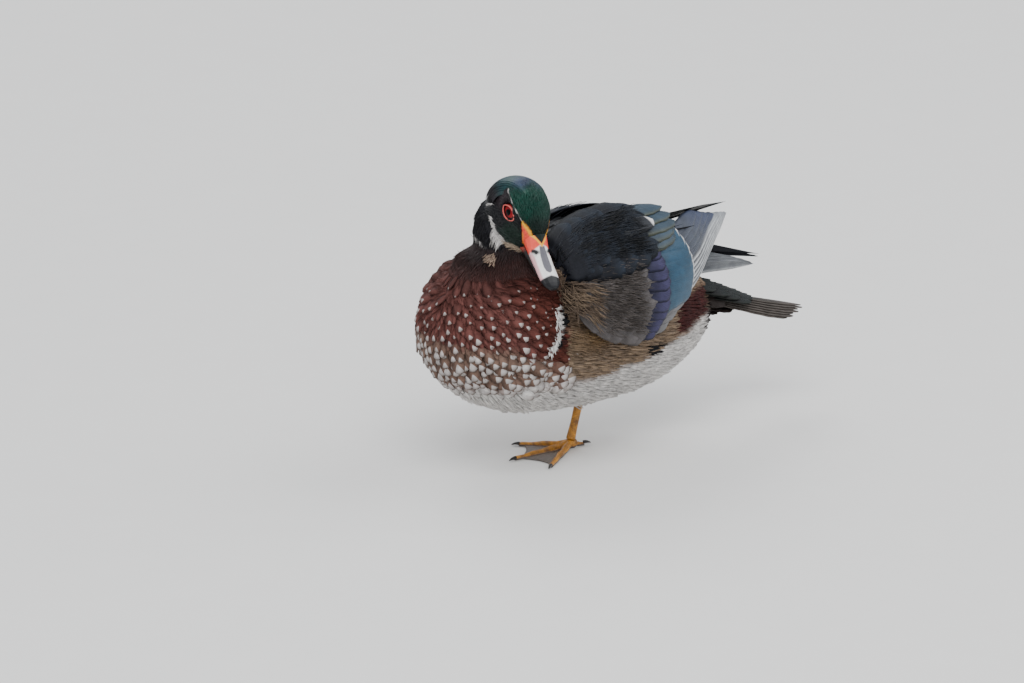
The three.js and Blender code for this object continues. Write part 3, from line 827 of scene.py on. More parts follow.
@dataclass
class VaneMesh:
    """Many vanes joined in one mesh."""

    sheet: Sheet
    stations: int = 16
    columns: int = 7
    points: list = field(default_factory=list)
    colours: list = field(default_factory=list)
    places: list = field(default_factory=list)

    def add(self, vane: Vane) -> None:
        """Works out a vane's points and colours and keeps them.

        Args:
            vane: The feather.
        """
        s = 1 - (1 - np.linspace(0, 1, self.stations)) ** 1.35
        across = np.linspace(-1, 1, self.columns)
        ring = np.concatenate([across, across[-2:0:-1]])
        face = np.concatenate([np.ones(self.columns), -np.ones(self.columns - 2)])
        start, power = vane.outline.value
        taper = np.clip(1 - np.clip((s - start) / (1 - start), 0, 1) ** power, 0, 1) ** 0.6
        share = (0.35 + 0.65 * smooth(s, 0, 0.3)) * np.maximum(taper, 0.04)
        s2, t2 = np.meshgrid(s, ring, indexing="ij")
        short = np.random.default_rng(int(100 * abs(vane.number)) + 7).uniform(0, 1, self.columns)
        s2 = s2 * (1 - vane.ragged * np.concatenate([short, short[-2:0:-1]]))
        a = vane.root[0] + (vane.tip[0] - vane.root[0]) * s2
        b = vane.root[1] + (vane.tip[1] - vane.root[1]) * s2
        step = 1e-3
        here = self.sheet.spot(a, b)
        far_a = a + (vane.tip[0] - vane.root[0]) * step
        run = unit(self.sheet.spot(far_a, b + (vane.tip[1] - vane.root[1]) * step) - here)
        along_a = (self.sheet.spot(a + step, b) - here) / step
        along_b = (self.sheet.spot(a, b + step) - here) / step
        sideways = np.cross(unit(np.cross(along_a, along_b)), run)
        sideways *= np.sign(np.sum(sideways * along_b, axis=-1, keepdims=True))
        da = np.sum(sideways * along_a, axis=-1) / np.sum(along_a**2, axis=-1)
        db = np.sum(sideways * along_b, axis=-1) / np.sum(along_b**2, axis=-1)
        uneven = np.where(t2 * np.sign(vane.shaft or 1) > 0, 1 - abs(vane.shaft), 1 + abs(vane.shaft))
        w = t2 * vane.width * share[:, None] * uneven
        fray = 0.03 * vane.width * np.sin(37 * s2 + 9 * vane.number) * np.abs(t2) ** 8
        w = w + np.sign(t2) * fray * smooth(s2, 0.1, 0.3)
        h = vane.height - vane.sink * (1 - smooth(s2, 0, 0.35))
        h = h - vane.tilt * w + 0.06 * vane.width * (1 - t2**2)
        h = h - vane.sides_down * smooth(np.abs(2 * b - 1), 0.55, 1.05)
        h = h + face[None, :] * vane.thick * 0.5 * (1 - np.abs(t2) ** 3) * np.maximum(taper, 0.15)[:, None]
        self.points.append(self.sheet.at(a + da * w, b + db * w, h).reshape(-1, 3))
        length = float(np.linalg.norm(here[-1, 0] - here[0, 0]))
        self.colours.append(vane.paint(s2, t2, length).reshape(-1, 3))
        self.places.append(np.stack([s2, t2 / 2 + 0.5], axis=-1).reshape(-1, 2))

    def build(self, name: str, finish: FeatherFinish) -> bpy.types.Object:
        """Joins the vanes kept so far into an object.

        Args:
            name: The object's name.
            finish: Its surface.

        Returns:
            The object, with its maps, colours and material.
        """
        around = 2 * self.columns - 2
        one = self.stations * around
        faces: list[tuple[int, ...]] = []
        turned = self._turned(self.points[0].reshape(self.stations, around, 3))
        for base in range(0, one * len(self.points), one):
            whole = []
            for near in range(base, base + one - around, around):
                far = near + around
                for j in range(around):
                    following = (j + 1) % around
                    whole.append((near + j, near + following, far + following, far + j))
            whole.append(tuple(range(base + around - 1, base - 1, -1)))
            whole.append(tuple(range(base + one - around, base + one)))
            faces += [face[::-1] for face in whole] if turned else whole
        cells = math.ceil(math.sqrt(len(self.points)))
        cell_maps = []
        for k, places in enumerate(self.places):
            corner = np.array([k % cells, k // cells]) / cells
            cell_maps.append(corner + (0.04 + 0.92 * places) / cells)
        maps = {"Vane": np.concatenate(self.places), "OFBake": np.concatenate(cell_maps)}
        made = mesh_object(name, np.concatenate(self.points), faces, maps)
        tint(made, np.concatenate(self.colours))
        made.data.materials.append(finish.material())
        return made

    def _turned(self, grid: Array) -> bool:
        """Whether the faces, as first wound, look inwards.

        Args:
            grid: One vane's points, by station and place round it.

        Returns:
            True where they have to be turned.
        """
        i, j = self.stations // 2, self.columns // 2
        a, b, c = grid[i, j], grid[i, j + 1], grid[i + 1, j + 1]
        opposite = grid[i, (len(grid[i]) - j) % len(grid[i])]
        return float(np.cross(b - a, c - a) @ (a - opposite)) < 0


def row_place(rows: tuple, s: float) -> Array:
    """The place at share s of a row given by two or more places."""
    table = np.asarray(rows, float)
    return np.array([np.interp(s * (len(table) - 1), np.arange(len(table)), table[:, k]) for k in (0, 1)])


def tier(
    mesh: VaneMesh, count: int, roots: tuple, tips: tuple, curve: float = 0.0, jitter: float = 0.0,
    seed: int = 1, rise: float = 0.0, **shape: object,
) -> None:
    """A row of overlapping vanes between its first and its last.

    Args:
        mesh: Where they go.
        count: How many there are.
        roots: The roots from the first to the last, as two or more places.
        tips: The tips in the same way.
        curve: How far the middle of the row reaches beyond its ends.
        jitter: How unevenly the tips end.
        seed: Which random numbers it takes.
        rise: How much higher each lies than the one before.
        shape: The other values of each vane.
    """
    random = np.random.default_rng(seed)
    height = float(shape.pop("height"))
    for i in range(count):
        s = i / (count - 1) if count > 1 else 0.5
        uneven = random.uniform(-0.5, 0.5, 3)
        root = tuple(row_place(roots, s) + uneven[2] * jitter * 0.4)
        tip = row_place(tips, s)
        tip[0] += curve * math.sin(math.pi * s) + uneven[0] * jitter
        tip[1] += uneven[1] * jitter * 0.6
        mesh.add(Vane(root=root, tip=tuple(tip), height=height + rise * i, number=i + seed, **shape))


# Paints for single feathers


@dataclass(frozen=True)
class FeatherPaint:
    """How one kind of feather is coloured, from its base to its tip and its edges."""

    base: Colour
    end: Colour | None = None
    end_from: float = 0.75
    tip: Colour | None = None
    tip_size: float = 0.0
    edge: Colour | None = None
    edge_size: float = 0.12
    edge_side: int = 0
    bar: Colour | None = None
    bar_size: float = 0.0

    def __call__(self, s: Array, t: Array, length: float) -> Array:
        """Colours at shares s along and t across a feather of that length.

        Args:
            s: Shares of its length.
            t: Shares across it, from -1 to 1.
            length: Its length in millimetres.

        Returns:
            A colour for each point.
        """
        colours = np.broadcast_to(np.array(self.base, float), (*s.shape, 3)).copy()
        if self.end is not None:
            colours = blend(colours, self.end, smooth(s, self.end_from - 0.15, self.end_from + 0.15))
        if self.edge is not None:
            side = np.abs(t) if self.edge_side == 0 else t * self.edge_side
            inner, outer = 1 - self.edge_size * 1.6, 1 - self.edge_size * 0.6
            colours = blend(colours, self.edge, smooth(side, inner, outer))
        left = (1 - s) * length
        if self.bar is not None:
            colours = blend(colours, self.bar, 1 - smooth(left, self.bar_size - 0.6, self.bar_size + 0.6))
        if self.tip is not None:
            colours = blend(colours, self.tip, 1 - smooth(left, self.tip_size - 0.4, self.tip_size + 0.4))
        return colours


# Markings of the skin and its coat


@dataclass
class Markings:
    """The colour, lie and size of the small feathers at every point of the trunk, neck and head.

    Lines on the head are in its own frame, ahead, right and up, and the others in the body's.
    """

    pose: HeadPose
    neck: tuple = (
        (-62, -3, 118, 34), (-58, -4, 134, 30), (-51, -5.5, 149, 23), (-51, -4.5, 163, 21.2),
        (-49, -4.5, 176, 19), (-47, -6, 187, 11),
    )
    brow: tuple = (
        (11.6, 12.7, 4.3), (5.3, 14.5, 5.9), (-2.2, 15.1, 7.0), (-10.3, 13.8, 7.4), (-16.0, 12.0, 9.5)
    )
    cheek: tuple = (
        (-4.5, 20.4, -13.0), (1.7, 19.7, -15.7), (6.1, 19.5, -18.5), (10.6, 18.3, -20.2),
        (13.5, 16.8, -20.4)
    )
    throat: tuple = (
        (13.5, 16.8, -20.4), (17.6, 13.5, -19.0), (20.4, 9.9, -17.6), (22.5, 4.9, -16.3), (23.5, 0, -16)
    )
    nape: tuple = ((-15.3, 16.4, -13.5), (-12.1, 16.0, -9.3))
    collar: tuple = ((-62.0, 14.0, 162.0), (-69.0, 6.0, 160.5), (-71.7, -2.8, 159.5), (-71.5, -9.9, 156.3))
    bar: tuple = ((-41.5, -51, 119), (-42.5, -53.5, 108), (-45, -54.5, 100), (-49, -54, 94))
    tufts: tuple = ((-71.8, -17.8, 152.7), (-59.5, -32.0, 149.5))
    base_top: tuple = ((0, 27.6), (4.4, 23.2), (8.8, 17.7), (12.7, 11.6))
    base_side: tuple = ((-17, 25.0), (-11.7, 22.7), (-7.2, 20.2), (-2.7, 17.8), (0.7, 14.6), (4.3, 11.6))
    belly_line: tuple = (
        (-105, 60), (-85, 66), (-60, 68), (-35, 67), (0, 68), (40, 72), (62, 77), (80, 80), (120, 86)
    )
    scallop_line: tuple = ((-105, 98), (-85, 96), (-65, 90), (-45, 82), (-36, 74))

    def head_share(self, points: Array) -> Array:
        """How much a point belongs to the head.

        Args:
            points: Points in body millimetres.

        Returns:
            A number from 0 to 1 for each point.
        """
        own = self.pose.own(points)
        far = np.sqrt((own[:, 0] / 27) ** 2 + (own[:, 1] / 20) ** 2 + ((own[:, 2] + 1) / 22.5) ** 2)
        return 1 - smooth(far, 1.0, 1.2)

    def neck_share(self, points: Array) -> Array:
        """How much a point belongs to the neck.

        Args:
            points: Points in body millimetres.

        Returns:
            A number from 0 to 1 for each point.
        """
        rows = np.array(self.neck)
        middle = along(rows[:, :3], np.linspace(0, 1, 13))
        far = to_line(points, middle)
        wide = np.interp(points[:, 2], rows[:, 2], rows[:, 3])
        return (1 - smooth(far / wide, 1.1, 1.45)) * smooth(points[:, 2], 132, 146)

    def past_edge(self, own: Array) -> tuple[Array, Array]:
        """How far ahead of the feathers' edge points of the head lie, on its top and at its side.

        Args:
            own: Points in the head's own frame.

        Returns:
            Both measures in millimetres.
        """
        top, side = np.array(self.base_top), np.array(self.base_side)
        over = own[:, 0] - np.interp(np.abs(own[:, 1]), top[:, 0], top[:, 1])
        return over, own[:, 0] - np.interp(own[:, 2], side[:, 0], side[:, 1])

    def bill_reach(self, own: Array) -> Array:
        """How far ahead of the feathers' edge a point of the head lies, in millimetres."""
        return np.minimum(*self.past_edge(own))

    def yellow_share(self, own: Array) -> Array:
        """How much a point of the head belongs to the yellow line round the base of the bill.

        Args:
            own: Points in the head's own frame.

        Returns:
            A number from 0 to 1 for each point.
        """
        over, beside = self.past_edge(own)
        line = np.maximum(band(over, -0.4, 1.5, 0.35), band(beside, -0.4, 0.5, 0.3) * 0.6)
        return line * (beside > -0.5)

    def bare_bill(self, points: Array) -> Array:
        """How much a point of the head belongs to the bare base of the bill."""
        own = self.pose.own(points)
        return smooth(self.bill_reach(own), -0.5, 0.5) * (own[:, 2] > -14)

    def lie(self, points: Array) -> Array:
        """The way the feathers point.

        Args:
            points: Points in body millimetres.

        Returns:
            A direction of length 1 for each point.
        """
        x, y = points[:, 0], points[:, 1]
        front = 1 - smooth(x, -100, -25)
        trunk = np.stack([np.ones_like(x), 0.12 * np.sign(y) * front, -0.12 - 1.0 * front], axis=-1)
        neck = np.array([-0.25, 0.05, -1.0])
        own = self.pose.own(points)
        back, up = -self.pose.axes[0], self.pose.axes[2]
        head = back + up * (0.25 - 0.6 * (1 - smooth(own[:, 2], -12, 4)))[:, None]
        out = blend(unit(trunk), neck, self.neck_share(points))
        return unit(blend(out, unit(head), self.head_share(points)))

    def line(self, places: Sequence[Sequence[float]], values: Array) -> Array:
        """Heights of one of the lines across the body."""
        rows = np.array(places)
        return np.interp(values, rows[:, 0], rows[:, 1])

    def belly_share(self, points: Array) -> Array:
        """How much a point belongs to the white belly.

        Args:
            points: Points in body millimetres.

        Returns:
            A number from 0 to 1 for each point.
        """
        wave = ripple(points, 9.0)
        top = self.line(self.belly_line, points[:, 0])
        return 1 - smooth(points[:, 2] + 2.5 * wave, top - 3, top + 3)

    def scallop_share(self, points: Array) -> Array:
        """How much a point belongs to the scaly band over the belly.

        Args:
            points: Points in body millimetres.

        Returns:
            A number from 0 to 1 for each point.
        """
        wave = ripple(points, 9.0)
        top = self.line(self.scallop_line, points[:, 0])
        below = 1 - smooth(points[:, 2] + 3 * wave, top - 4, top + 4)
        return below * (1 - smooth(points[:, 0], -42, -34)) * (1 - self.belly_share(points))

    def trunk_tone(self, points: Array) -> Array:
        """The colour of the trunk's feathers.

        Args:
            points: Points in body millimetres.

        Returns:
            A colour for each point.
        """
        x, y, z = points.T
        wave, fine = ripple(points, 9.0), ripple(points, 3.2, 5.0)
        tone = plain(CHESTNUT, len(x))
        tone = blend(tone, MAROON, smooth(x + 0.25 * (z - 100), -72, -52) * 0.8)
        tone = blend(tone, DUSKY, smooth(z - 0.1 * x, 132, 156) * 0.85)
        tone = tone * (1 + 0.16 * wave + 0.10 * fine)[:, None]
        tone = blend(tone, SCALE_BROWN, self.scallop_share(points))
        belly = self.belly_share(points)
        flank = smooth(x + wave, -38, -34) * (1 - belly)
        vermicule = 0.5 + 0.5 * np.sin(2.6 * (x + 0.5 * z) + 3 * fine)
        buff = blend(plain(BUFF, len(x)), GREY_BROWN, vermicule * 0.55)
        tone = blend(tone, buff, flank)
        mantle = smooth(x + 0.30 * (z - 140) + 2 * wave, -36, -28) * smooth(z, 116, 128)
        tone = blend(tone, BLACK, mantle)
        tone = blend(tone, BELLY, belly)
        patch = band(z, 80, 104, 3) * band(x, 62, 104, 4) * smooth(np.abs(y), 8, 16)
        tone = blend(tone, RUMP, patch * (1 - belly))
        tail = smooth(x - 0.3 * (z - 80), 98, 106) * smooth(z, 66, 74)
        tone = blend(tone, TAIL_ROOT, tail)
        specks = band(x, 34, 50, 2) * band(z, 70, 80, 2) * smooth(np.sin(1.9 * (x + z)), -0.2, 0.2)
        tone = blend(tone, BLACK, specks)
        stripe = self.bar_distance(points)
        near = (x < -30) * (x > -60)
        tone = blend(tone, BELLY, (1 - smooth(stripe, 1.7, 2.5)) * near)
        shifted = self.bar_distance(points - np.array([4.0, 0, -1.0]))
        return blend(tone, BLACK, (1 - smooth(shifted, 1.2, 2.0)) * smooth(stripe, 1.7, 2.5) * near)

    def bar_distance(self, points: Array) -> Array:
        """How far points lie from the white bar at the side of the breast, along the skin."""
        return to_line(on_tube(points), on_tube(np.array(self.bar, float)))

    def neck_tone(self, points: Array) -> Array:
        """The colour of the neck's feathers.

        Args:
            points: Points in body millimetres.

        Returns:
            A colour for each point.
        """
        wave = ripple(points, 6.0)
        height = points[:, 2] - 0.16 * (points[:, 0] + 60) - 0.10 * points[:, 1] + 0.7 * wave
        tone = plain(NECK_LOW, len(points))
        tone = blend(tone, NECK_MIDDLE, smooth(height, 148, 156))
        tone = blend(tone, NECK_TOP, smooth(height, 157, 160))
        far = to_line(points, self.collar)
        tone = blend(tone, BELLY, (1 - smooth(far, 0.9, 1.9)) * 0.9)
        mirrored = np.array(self.collar, float) * np.array([1, -1, 1]) + np.array([0, -9, 0])
        return blend(tone, BELLY, (1 - smooth(to_line(points, mirrored[:2]), 1.6, 2.6)) * 0.5)

    def crown_tone(self, own: Array) -> Array:
        """The glossy colours of the crown and the crest at points of the head's frame, with painted shade on
        the head's right side.

        Args:
            own: Points in the head's own frame.

        Returns:
            A colour for each point.
        """
        ahead, right, up = own.T
        wave = ripple(own, 5.0, 2.0)
        tone = plain(GREEN, len(own))
        tone = blend(tone, FOREHEAD, smooth(ahead + wave, 6, 20))
        tone = blend(tone, SEA_GREEN, smooth(-ahead + 2 * wave, 4, 16) * (1 - smooth(up, 6, 13)))
        tone = blend(tone, VIOLET, smooth(-ahead + 3 * wave, 2, 13) * smooth(up, 8, 14) * 0.8)
        low = (1 - smooth(up + wave, -5, 5)) * smooth(-ahead, 4, 12)
        tone = blend(tone, CREST_LOW, low)
        # Painted shade: the crown and the crest grow darker towards the head's right side, away from the
        # light.
        return tone * (1 - 0.55 * smooth(-right, 3, 12))[:, None]

    def head_tone(self, points: Array) -> Array:
        """The colour of the head's feathers.

        Args:
            points: Points in body millimetres.

        Returns:
            A colour for each point.
        """
        own = self.pose.own(points)
        ahead, up = own[:, 0], own[:, 2]
        wave = ripple(points, 6.0, 2.0)
        tone = plain(FACE, len(points))
        tone = blend(tone, CHEEK_GREEN, band(ahead, 6, 20, 4) * band(up, -16, -2, 4) * 0.8)
        tone = blend(tone, BEHIND_EYE, band(ahead, -16, -4, 4) * band(up, -6, 6, 3) * 0.9)
        crown = self.crown_tone(own)
        brow_at = np.interp(ahead, [-20, -10, -2, 6, 12, 28], [9.0, 7.4, 7.0, 5.9, 4.3, -4.0])
        return blend(tone, crown, smooth(up - brow_at + 0.3 * wave, -0.6, 0.8))

    def tone(self, points: Array) -> Array:
        """The colour at each point.

        Args:
            points: Points in body millimetres.

        Returns:
            A colour for each point.
        """
        neck, head = self.neck_share(points), self.head_share(points)
        tone = blend(self.trunk_tone(points), self.neck_tone(points), neck)
        tone = blend(tone, self.head_tone(points), head)
        own = self.pose.own(points)
        near_head = np.maximum(head, neck)
        lines = ((self.brow, 0.12, 0.8), (self.nape, 0.5, 0.8), (self.cheek, 1.7, 1.0))
        for chain, half, strength in lines:
            line = 1 - smooth(self._head_distance(own, chain), half, half + 0.45)
            tone = blend(tone, BELLY, line * strength * near_head)
        far = self._head_distance(own, self.throat)
        tone = blend(tone, CREAM, (1 - smooth(far, 0.6, 1.3)) * 0.7 * near_head)
        bare = self.bare_bill(points) * head
        tone = blend(tone, BILL_RED, bare)
        return blend(tone, BILL_YELLOW, self.yellow_share(own) * bare)

    def _head_distance(self, own: Array, chain: tuple) -> Array:
        """How far points lie from a line on either side of the head, along its surface.

        Args:
            own: Points in the head's own frame.
            chain: The corners of the line.

        Returns:
            A distance in millimetres for each point.
        """
        line = np.array(chain, float)
        radius = float(np.linalg.norm(line, axis=1).mean())
        line, flat = on_ball(line, radius), on_ball(own, radius)
        far = np.minimum(to_line(flat, line), to_line(flat * np.array([1, -1, 1]), line))
        beyond = np.abs(np.linalg.norm(own, axis=1) - radius)
        return far + 2 * np.maximum(beyond - 4.5, 0)


# The body's skin and coat


class CoatTree(Tree):
    """Geometry nodes that spread one feather over a skin, along the lie of the coat."""

    INPUTS = (
        ("Feather", "NodeSocketObject"), ("Spacing", "NodeSocketFloat"), ("Seed", "NodeSocketInt"),
        ("Lift", "NodeSocketFloat"), ("Patch", "NodeSocketFloat"), ("Finish", "NodeSocketMaterial"),
        ("Scatter", "NodeSocketFloat"),
    )
    # Feathers to a square metre, before the spacing thins them out
    DENSITY = 5.0e6
    # Shares of the coat's lift, radians of sway, and shares of a feather's size
    LIFTS = (-1.25, -0.7)
    SWAY = (-0.16, 0.16)
    SIZES = (0.82, 1.15)
    def __init__(self) -> None:
        """Builds the tree."""
        super().__init__(bpy.data.node_groups.new("Feather coat", "GeometryNodeTree"))
        face = self.tree.interface
        face.new_socket("Skin", in_out="INPUT", socket_type="NodeSocketGeometry")
        self.sockets = {
            name: face.new_socket(name, in_out="INPUT", socket_type=kind) for name, kind in self.INPUTS
        }
        face.new_socket("Coat", in_out="OUTPUT", socket_type="NodeSocketGeometry")
        source = self.node("NodeGroupInput").outputs
        spread = self.node("GeometryNodeDistributePointsOnFaces", {
            "Mesh": source["Skin"], "Distance Min": source["Spacing"], "Seed": source["Seed"],
            "Density Max": self.DENSITY, "Density Factor": self._named("Cover", "FLOAT"),
        }, distribute_method="POISSON").outputs
        feather = self.node("GeometryNodeObjectInfo", {"Object": source["Feather"]})
        planted = self.node("GeometryNodeInstanceOnPoints", {
            "Points": spread["Points"], "Instance": feather.outputs["Geometry"],
            "Rotation": self._turned(source, spread["Normal"]),
            "Scale": self._scaled("Size", self._random(*self.SIZES, 4, source)),
        })
        real = self.node("GeometryNodeRealizeInstances", {0: planted.outputs[0]})
        place = self.node("ShaderNodeVectorMath", {
            0: self._named("SkinMap", "FLOAT_VECTOR"), 1: self._scaled("Vane", source["Patch"]),
        }, operation="ADD")
        store = self.node("GeometryNodeStoreNamedAttribute", {
            "Name": "OFBake", "Geometry": real.outputs[0], "Value": place.outputs[0],
        }, data_type="FLOAT2", domain="CORNER")
        finish = {"Geometry": store.outputs[0], "Material": source["Finish"]}
        dressed = self.node("GeometryNodeSetMaterial", finish)
        self.node("NodeGroupOutput", {0: dressed.outputs[0]})

    def _turned(self, source: bpy.types.NodeOutputs, normal: bpy.types.NodeSocket) -> bpy.types.NodeSocket:
        """Each feather's turn: along the lie of the coat, then raised and swayed by chance.

        Args:
            source: The outputs of the tree's input node.
            normal: The skin's own direction at each feather.

        Returns:
            The turn as a node's output.
        """
        flat = self.node("FunctionNodeAxesToRotation", {
            "Primary Axis": normal, "Secondary Axis": self._named("Lie", "FLOAT_VECTOR"),
        }, primary_axis="Z", secondary_axis="X")
        draws = ((self.SWAY, 1, "Scatter"), (self.LIFTS, 3, "Lift"), (self.SWAY, 2, "Scatter"))
        angles = [
            self.math("MULTIPLY", self._random(*limits, seed, source), source[factor])
            for limits, seed, factor in draws
        ]
        euler = self.node("ShaderNodeCombineXYZ", dict(enumerate(angles)))
        chance = self.node("FunctionNodeEulerToRotation", {0: euler.outputs[0]})
        turns = {0: flat.outputs[0], 1: chance.outputs[0]}
        return self.node("FunctionNodeRotateRotation", turns, rotation_space="LOCAL").outputs[0]

    def _scaled(self, name: str, factor: bpy.types.NodeSocket) -> bpy.types.NodeSocket:
        """A named vector times a factor."""
        inputs = {0: self._named(name, "FLOAT_VECTOR"), "Scale": factor}
        return self.node("ShaderNodeVectorMath", inputs, operation="SCALE").outputs[0]

    def _named(self, name: str, kind: str) -> bpy.types.NodeSocket:
        """Reads a named attribute."""
        node = self.node("GeometryNodeInputNamedAttribute", {"Name": name}, data_type=kind)
        return node.outputs["Attribute"]

    def _random(
        self, low: float, high: float, seed: int, source: bpy.types.NodeOutputs
    ) -> bpy.types.NodeSocket:
        """Random numbers between two limits.

        Args:
            low: The lower limit.
            high: The upper limit.
            seed: What is added to the coat's seed.
            source: The outputs of the tree's input node.

        Returns:
            The node's output.
        """
        inputs = {2: low, 3: high, "Seed": self.math("ADD", source["Seed"], float(seed))}
        node = self.node("FunctionNodeRandomValue", inputs, data_type="FLOAT")
        return next(output for output in node.outputs if output.enabled)

    def grow(self, skin: bpy.types.Object, name: str, values: dict[str, object]) -> bpy.types.Object:
        """Grows a coat on a copy of the skin.

        Args:
            skin: The skin with its named values.
            name: The coat's name.
            values: The tree's inputs by name.

        Returns:
            The coat as a plain mesh.
        """
        carrier = bpy.data.objects.new(name + "_carrier", skin.data)
        bpy.context.scene.collection.objects.link(carrier)
        modifier = carrier.modifiers.new("Coat", "NODES")
        modifier.node_group = self.tree
        for key, value in values.items():
            modifier[self.sockets[key].identifier] = value
        evaluated = carrier.evaluated_get(bpy.context.evaluated_depsgraph_get())
        mesh = bpy.data.meshes.new_from_object(evaluated)
        bpy.data.objects.remove(carrier)
        mesh.name = name
        mesh.shade_smooth()
        for spare in ("Lie", "Size", "Cover", "SkinMap"):
            if spare in mesh.attributes:
                mesh.attributes.remove(mesh.attributes[spare])
        made = bpy.data.objects.new(name, mesh)
        bpy.context.scene.collection.objects.link(made)
        return made


# Small feathers


class Form(Enum):
    """The shapes of small feather.

    Each has its stations as run, half width and height, then the number of sides, the thickness and
    the camber.
    """

    BROAD = (
        ((0.0, 0.16, 0.0), (0.3, 0.44, 0.035), (0.62, 0.5, 0.03), (0.86, 0.36, -0.005), (1.0, 0.10, -0.045)),
        4, 0.02, 0.10,
    )
    SLIM = (((0.0, 0.4, 0.0), (0.5, 0.5, 0.05), (1.0, 0.08, 0.0)), 4, 0.03, 0.08)
    HAIR = (((0.0, 0.5, 0.0), (0.55, 0.4, 0.04), (1.0, 0.1, 0.02)), 3, 0.018, 0.0)

    @property
    def block(self) -> int:
        """How many points one feather has."""
        return len(self.value[0]) * self.value[1]

    def build(self) -> bpy.types.Object:
        """One feather of length 1 and width 1 along X, closed all round, with a raised middle.

        Returns:
            The feather as an object.
        """
        stations, sides, thick, camber = self.value
        points, faces, pairs = [], [], []
        for run, half, height in stations:
            low = height - camber * half * 0.6
            ring = [(run, -half, low), (run, 0, height + thick), (run, half, low), (run, 0, height - thick)]
            points += ring[:sides]
            pairs += [(run, 0.5 - half), (run, 0.5), (run, 0.5 + half), (run, 0.5)][:sides]
        for i in range(len(stations) - 1):
            for j in range(sides):
                k = (j + 1) % sides
                faces.append((i * sides + j, (i + 1) * sides + j, (i + 1) * sides + k, i * sides + k))
        last = (len(stations) - 1) * sides
        faces += [tuple(range(sides)), tuple(range(last + sides - 1, last - 1, -1))]
        name = f"{self.name.lower()}_feather"
        places = np.array(points) * PER_METRE + BALL_OF_FOOT
        made = mesh_object(name, places, faces, {"Vane": np.array(pairs)})
        middle = sum((v.co for v in made.data.vertices), made.data.vertices[0].co * 0) / len(points)
        if sum((p.center - middle).dot(p.normal) * p.area for p in made.data.polygons) < 0:
            made.data.flip_normals()
        return made


@dataclass(frozen=True)
class Coat:
    """One kind of small feather: shape, spacing and size in millimetres, lift in degrees, and surface."""

    name: str
    form: Form
    spacing: float
    length: float
    width: float
    lift: float
    seed: int
    roughness: float = 0.75
    specular: float = 0.12
    marked: bool = False
    scatter: float = 1.0

    @property
    def size(self) -> Array:
        """What one feather is stretched to along its length, its width and its height."""
        return np.array([self.length, self.width, self.length])

@dataclass
class Look:
    """The colours of single feathers, and how large and of what colour the mark at each tip is."""

    tone: Array
    tip: Array | None = None
    share: Array | None = None
    rim: Array | None = None


class Feathering:
    """Grows coats of small feathers on surfaces and paints each feather by where it lies."""

    def __init__(self) -> None:
        """Makes the node tree and one feather of each form."""
        self.tree = CoatTree()
        self.samples = {form: form.build() for form in Form}

    def clear(self) -> None:
        """Removes the single feathers."""
        for sample in self.samples.values():
            bpy.data.objects.remove(sample)

    def grow(self, carrier: bpy.types.Object, coat: Coat, paint: Callable[[Array], Look]) -> bpy.types.Object:
        """Grows one coat.

        Args:
            carrier: The surface, with its Lie, Size, Cover and SkinMap.
            coat: What grows there.
            paint: Gives the look of feathers at points of the body.

        Returns:
            The coat as a plain mesh, with a colour for each feather.
        """
        finish = FeatherFinish(
            coat.name + "_feathers", coat.roughness, coat.specular, marked_tip=coat.marked
        )
        inputs = {
            "Feather": self.samples[coat.form], "Spacing": coat.spacing / PER_METRE, "Seed": coat.seed,
            "Lift": math.radians(coat.lift), "Patch": LENGTH_ON_MAP, "Finish": finish.material(),
            "Scatter": coat.scatter,
        }
        made = self.tree.grow(carrier, coat.name, inputs)
        block = coat.form.block
        sides = coat.form.value[1]
        feathers = body_points(made.data).reshape(-1, block, 3)
        roots, tips = feathers[:, :sides].mean(axis=1), feathers[:, -sides:].mean(axis=1)
        look = paint(roots * 0.45 + tips * 0.55)
        random = np.random.default_rng(coat.seed)
        shade = random.uniform(0.84, 1.14, len(feathers))[:, None] * np.linspace(0.82, 1.08, block)
        tint(made, (look.tone[:, None, :] * shade[:, :, None]).reshape(-1, 3))
        if coat.marked:
            tint(made, np.repeat(look.tip, block, axis=0), "TipTint")
            measure(made, "TipShare", "FLOAT", np.repeat(look.share, block))
            measure(made, "Rim", "FLOAT", np.repeat(look.rim, block))
        return made


def dress(carrier: bpy.types.Object, lie: Array, size: Array, cover: Array) -> None:
    """Puts on a surface the way its feathers point, their size in millimetres and where they grow.

    Args:
        carrier: The surface.
        lie: A direction for each point.
        size: Length, width and height for each point.
        cover: How densely feathers grow, from 0 to 1.
    """
    for name in ("Lie", "Size", "Cover"):
        if name in carrier.data.attributes:
            carrier.data.attributes.remove(carrier.data.attributes[name])
    measure(carrier, "Lie", "FLOAT_VECTOR", lie)
    measure(carrier, "Size", "FLOAT_VECTOR", size / PER_METRE)
    measure(carrier, "Cover", "FLOAT", cover)


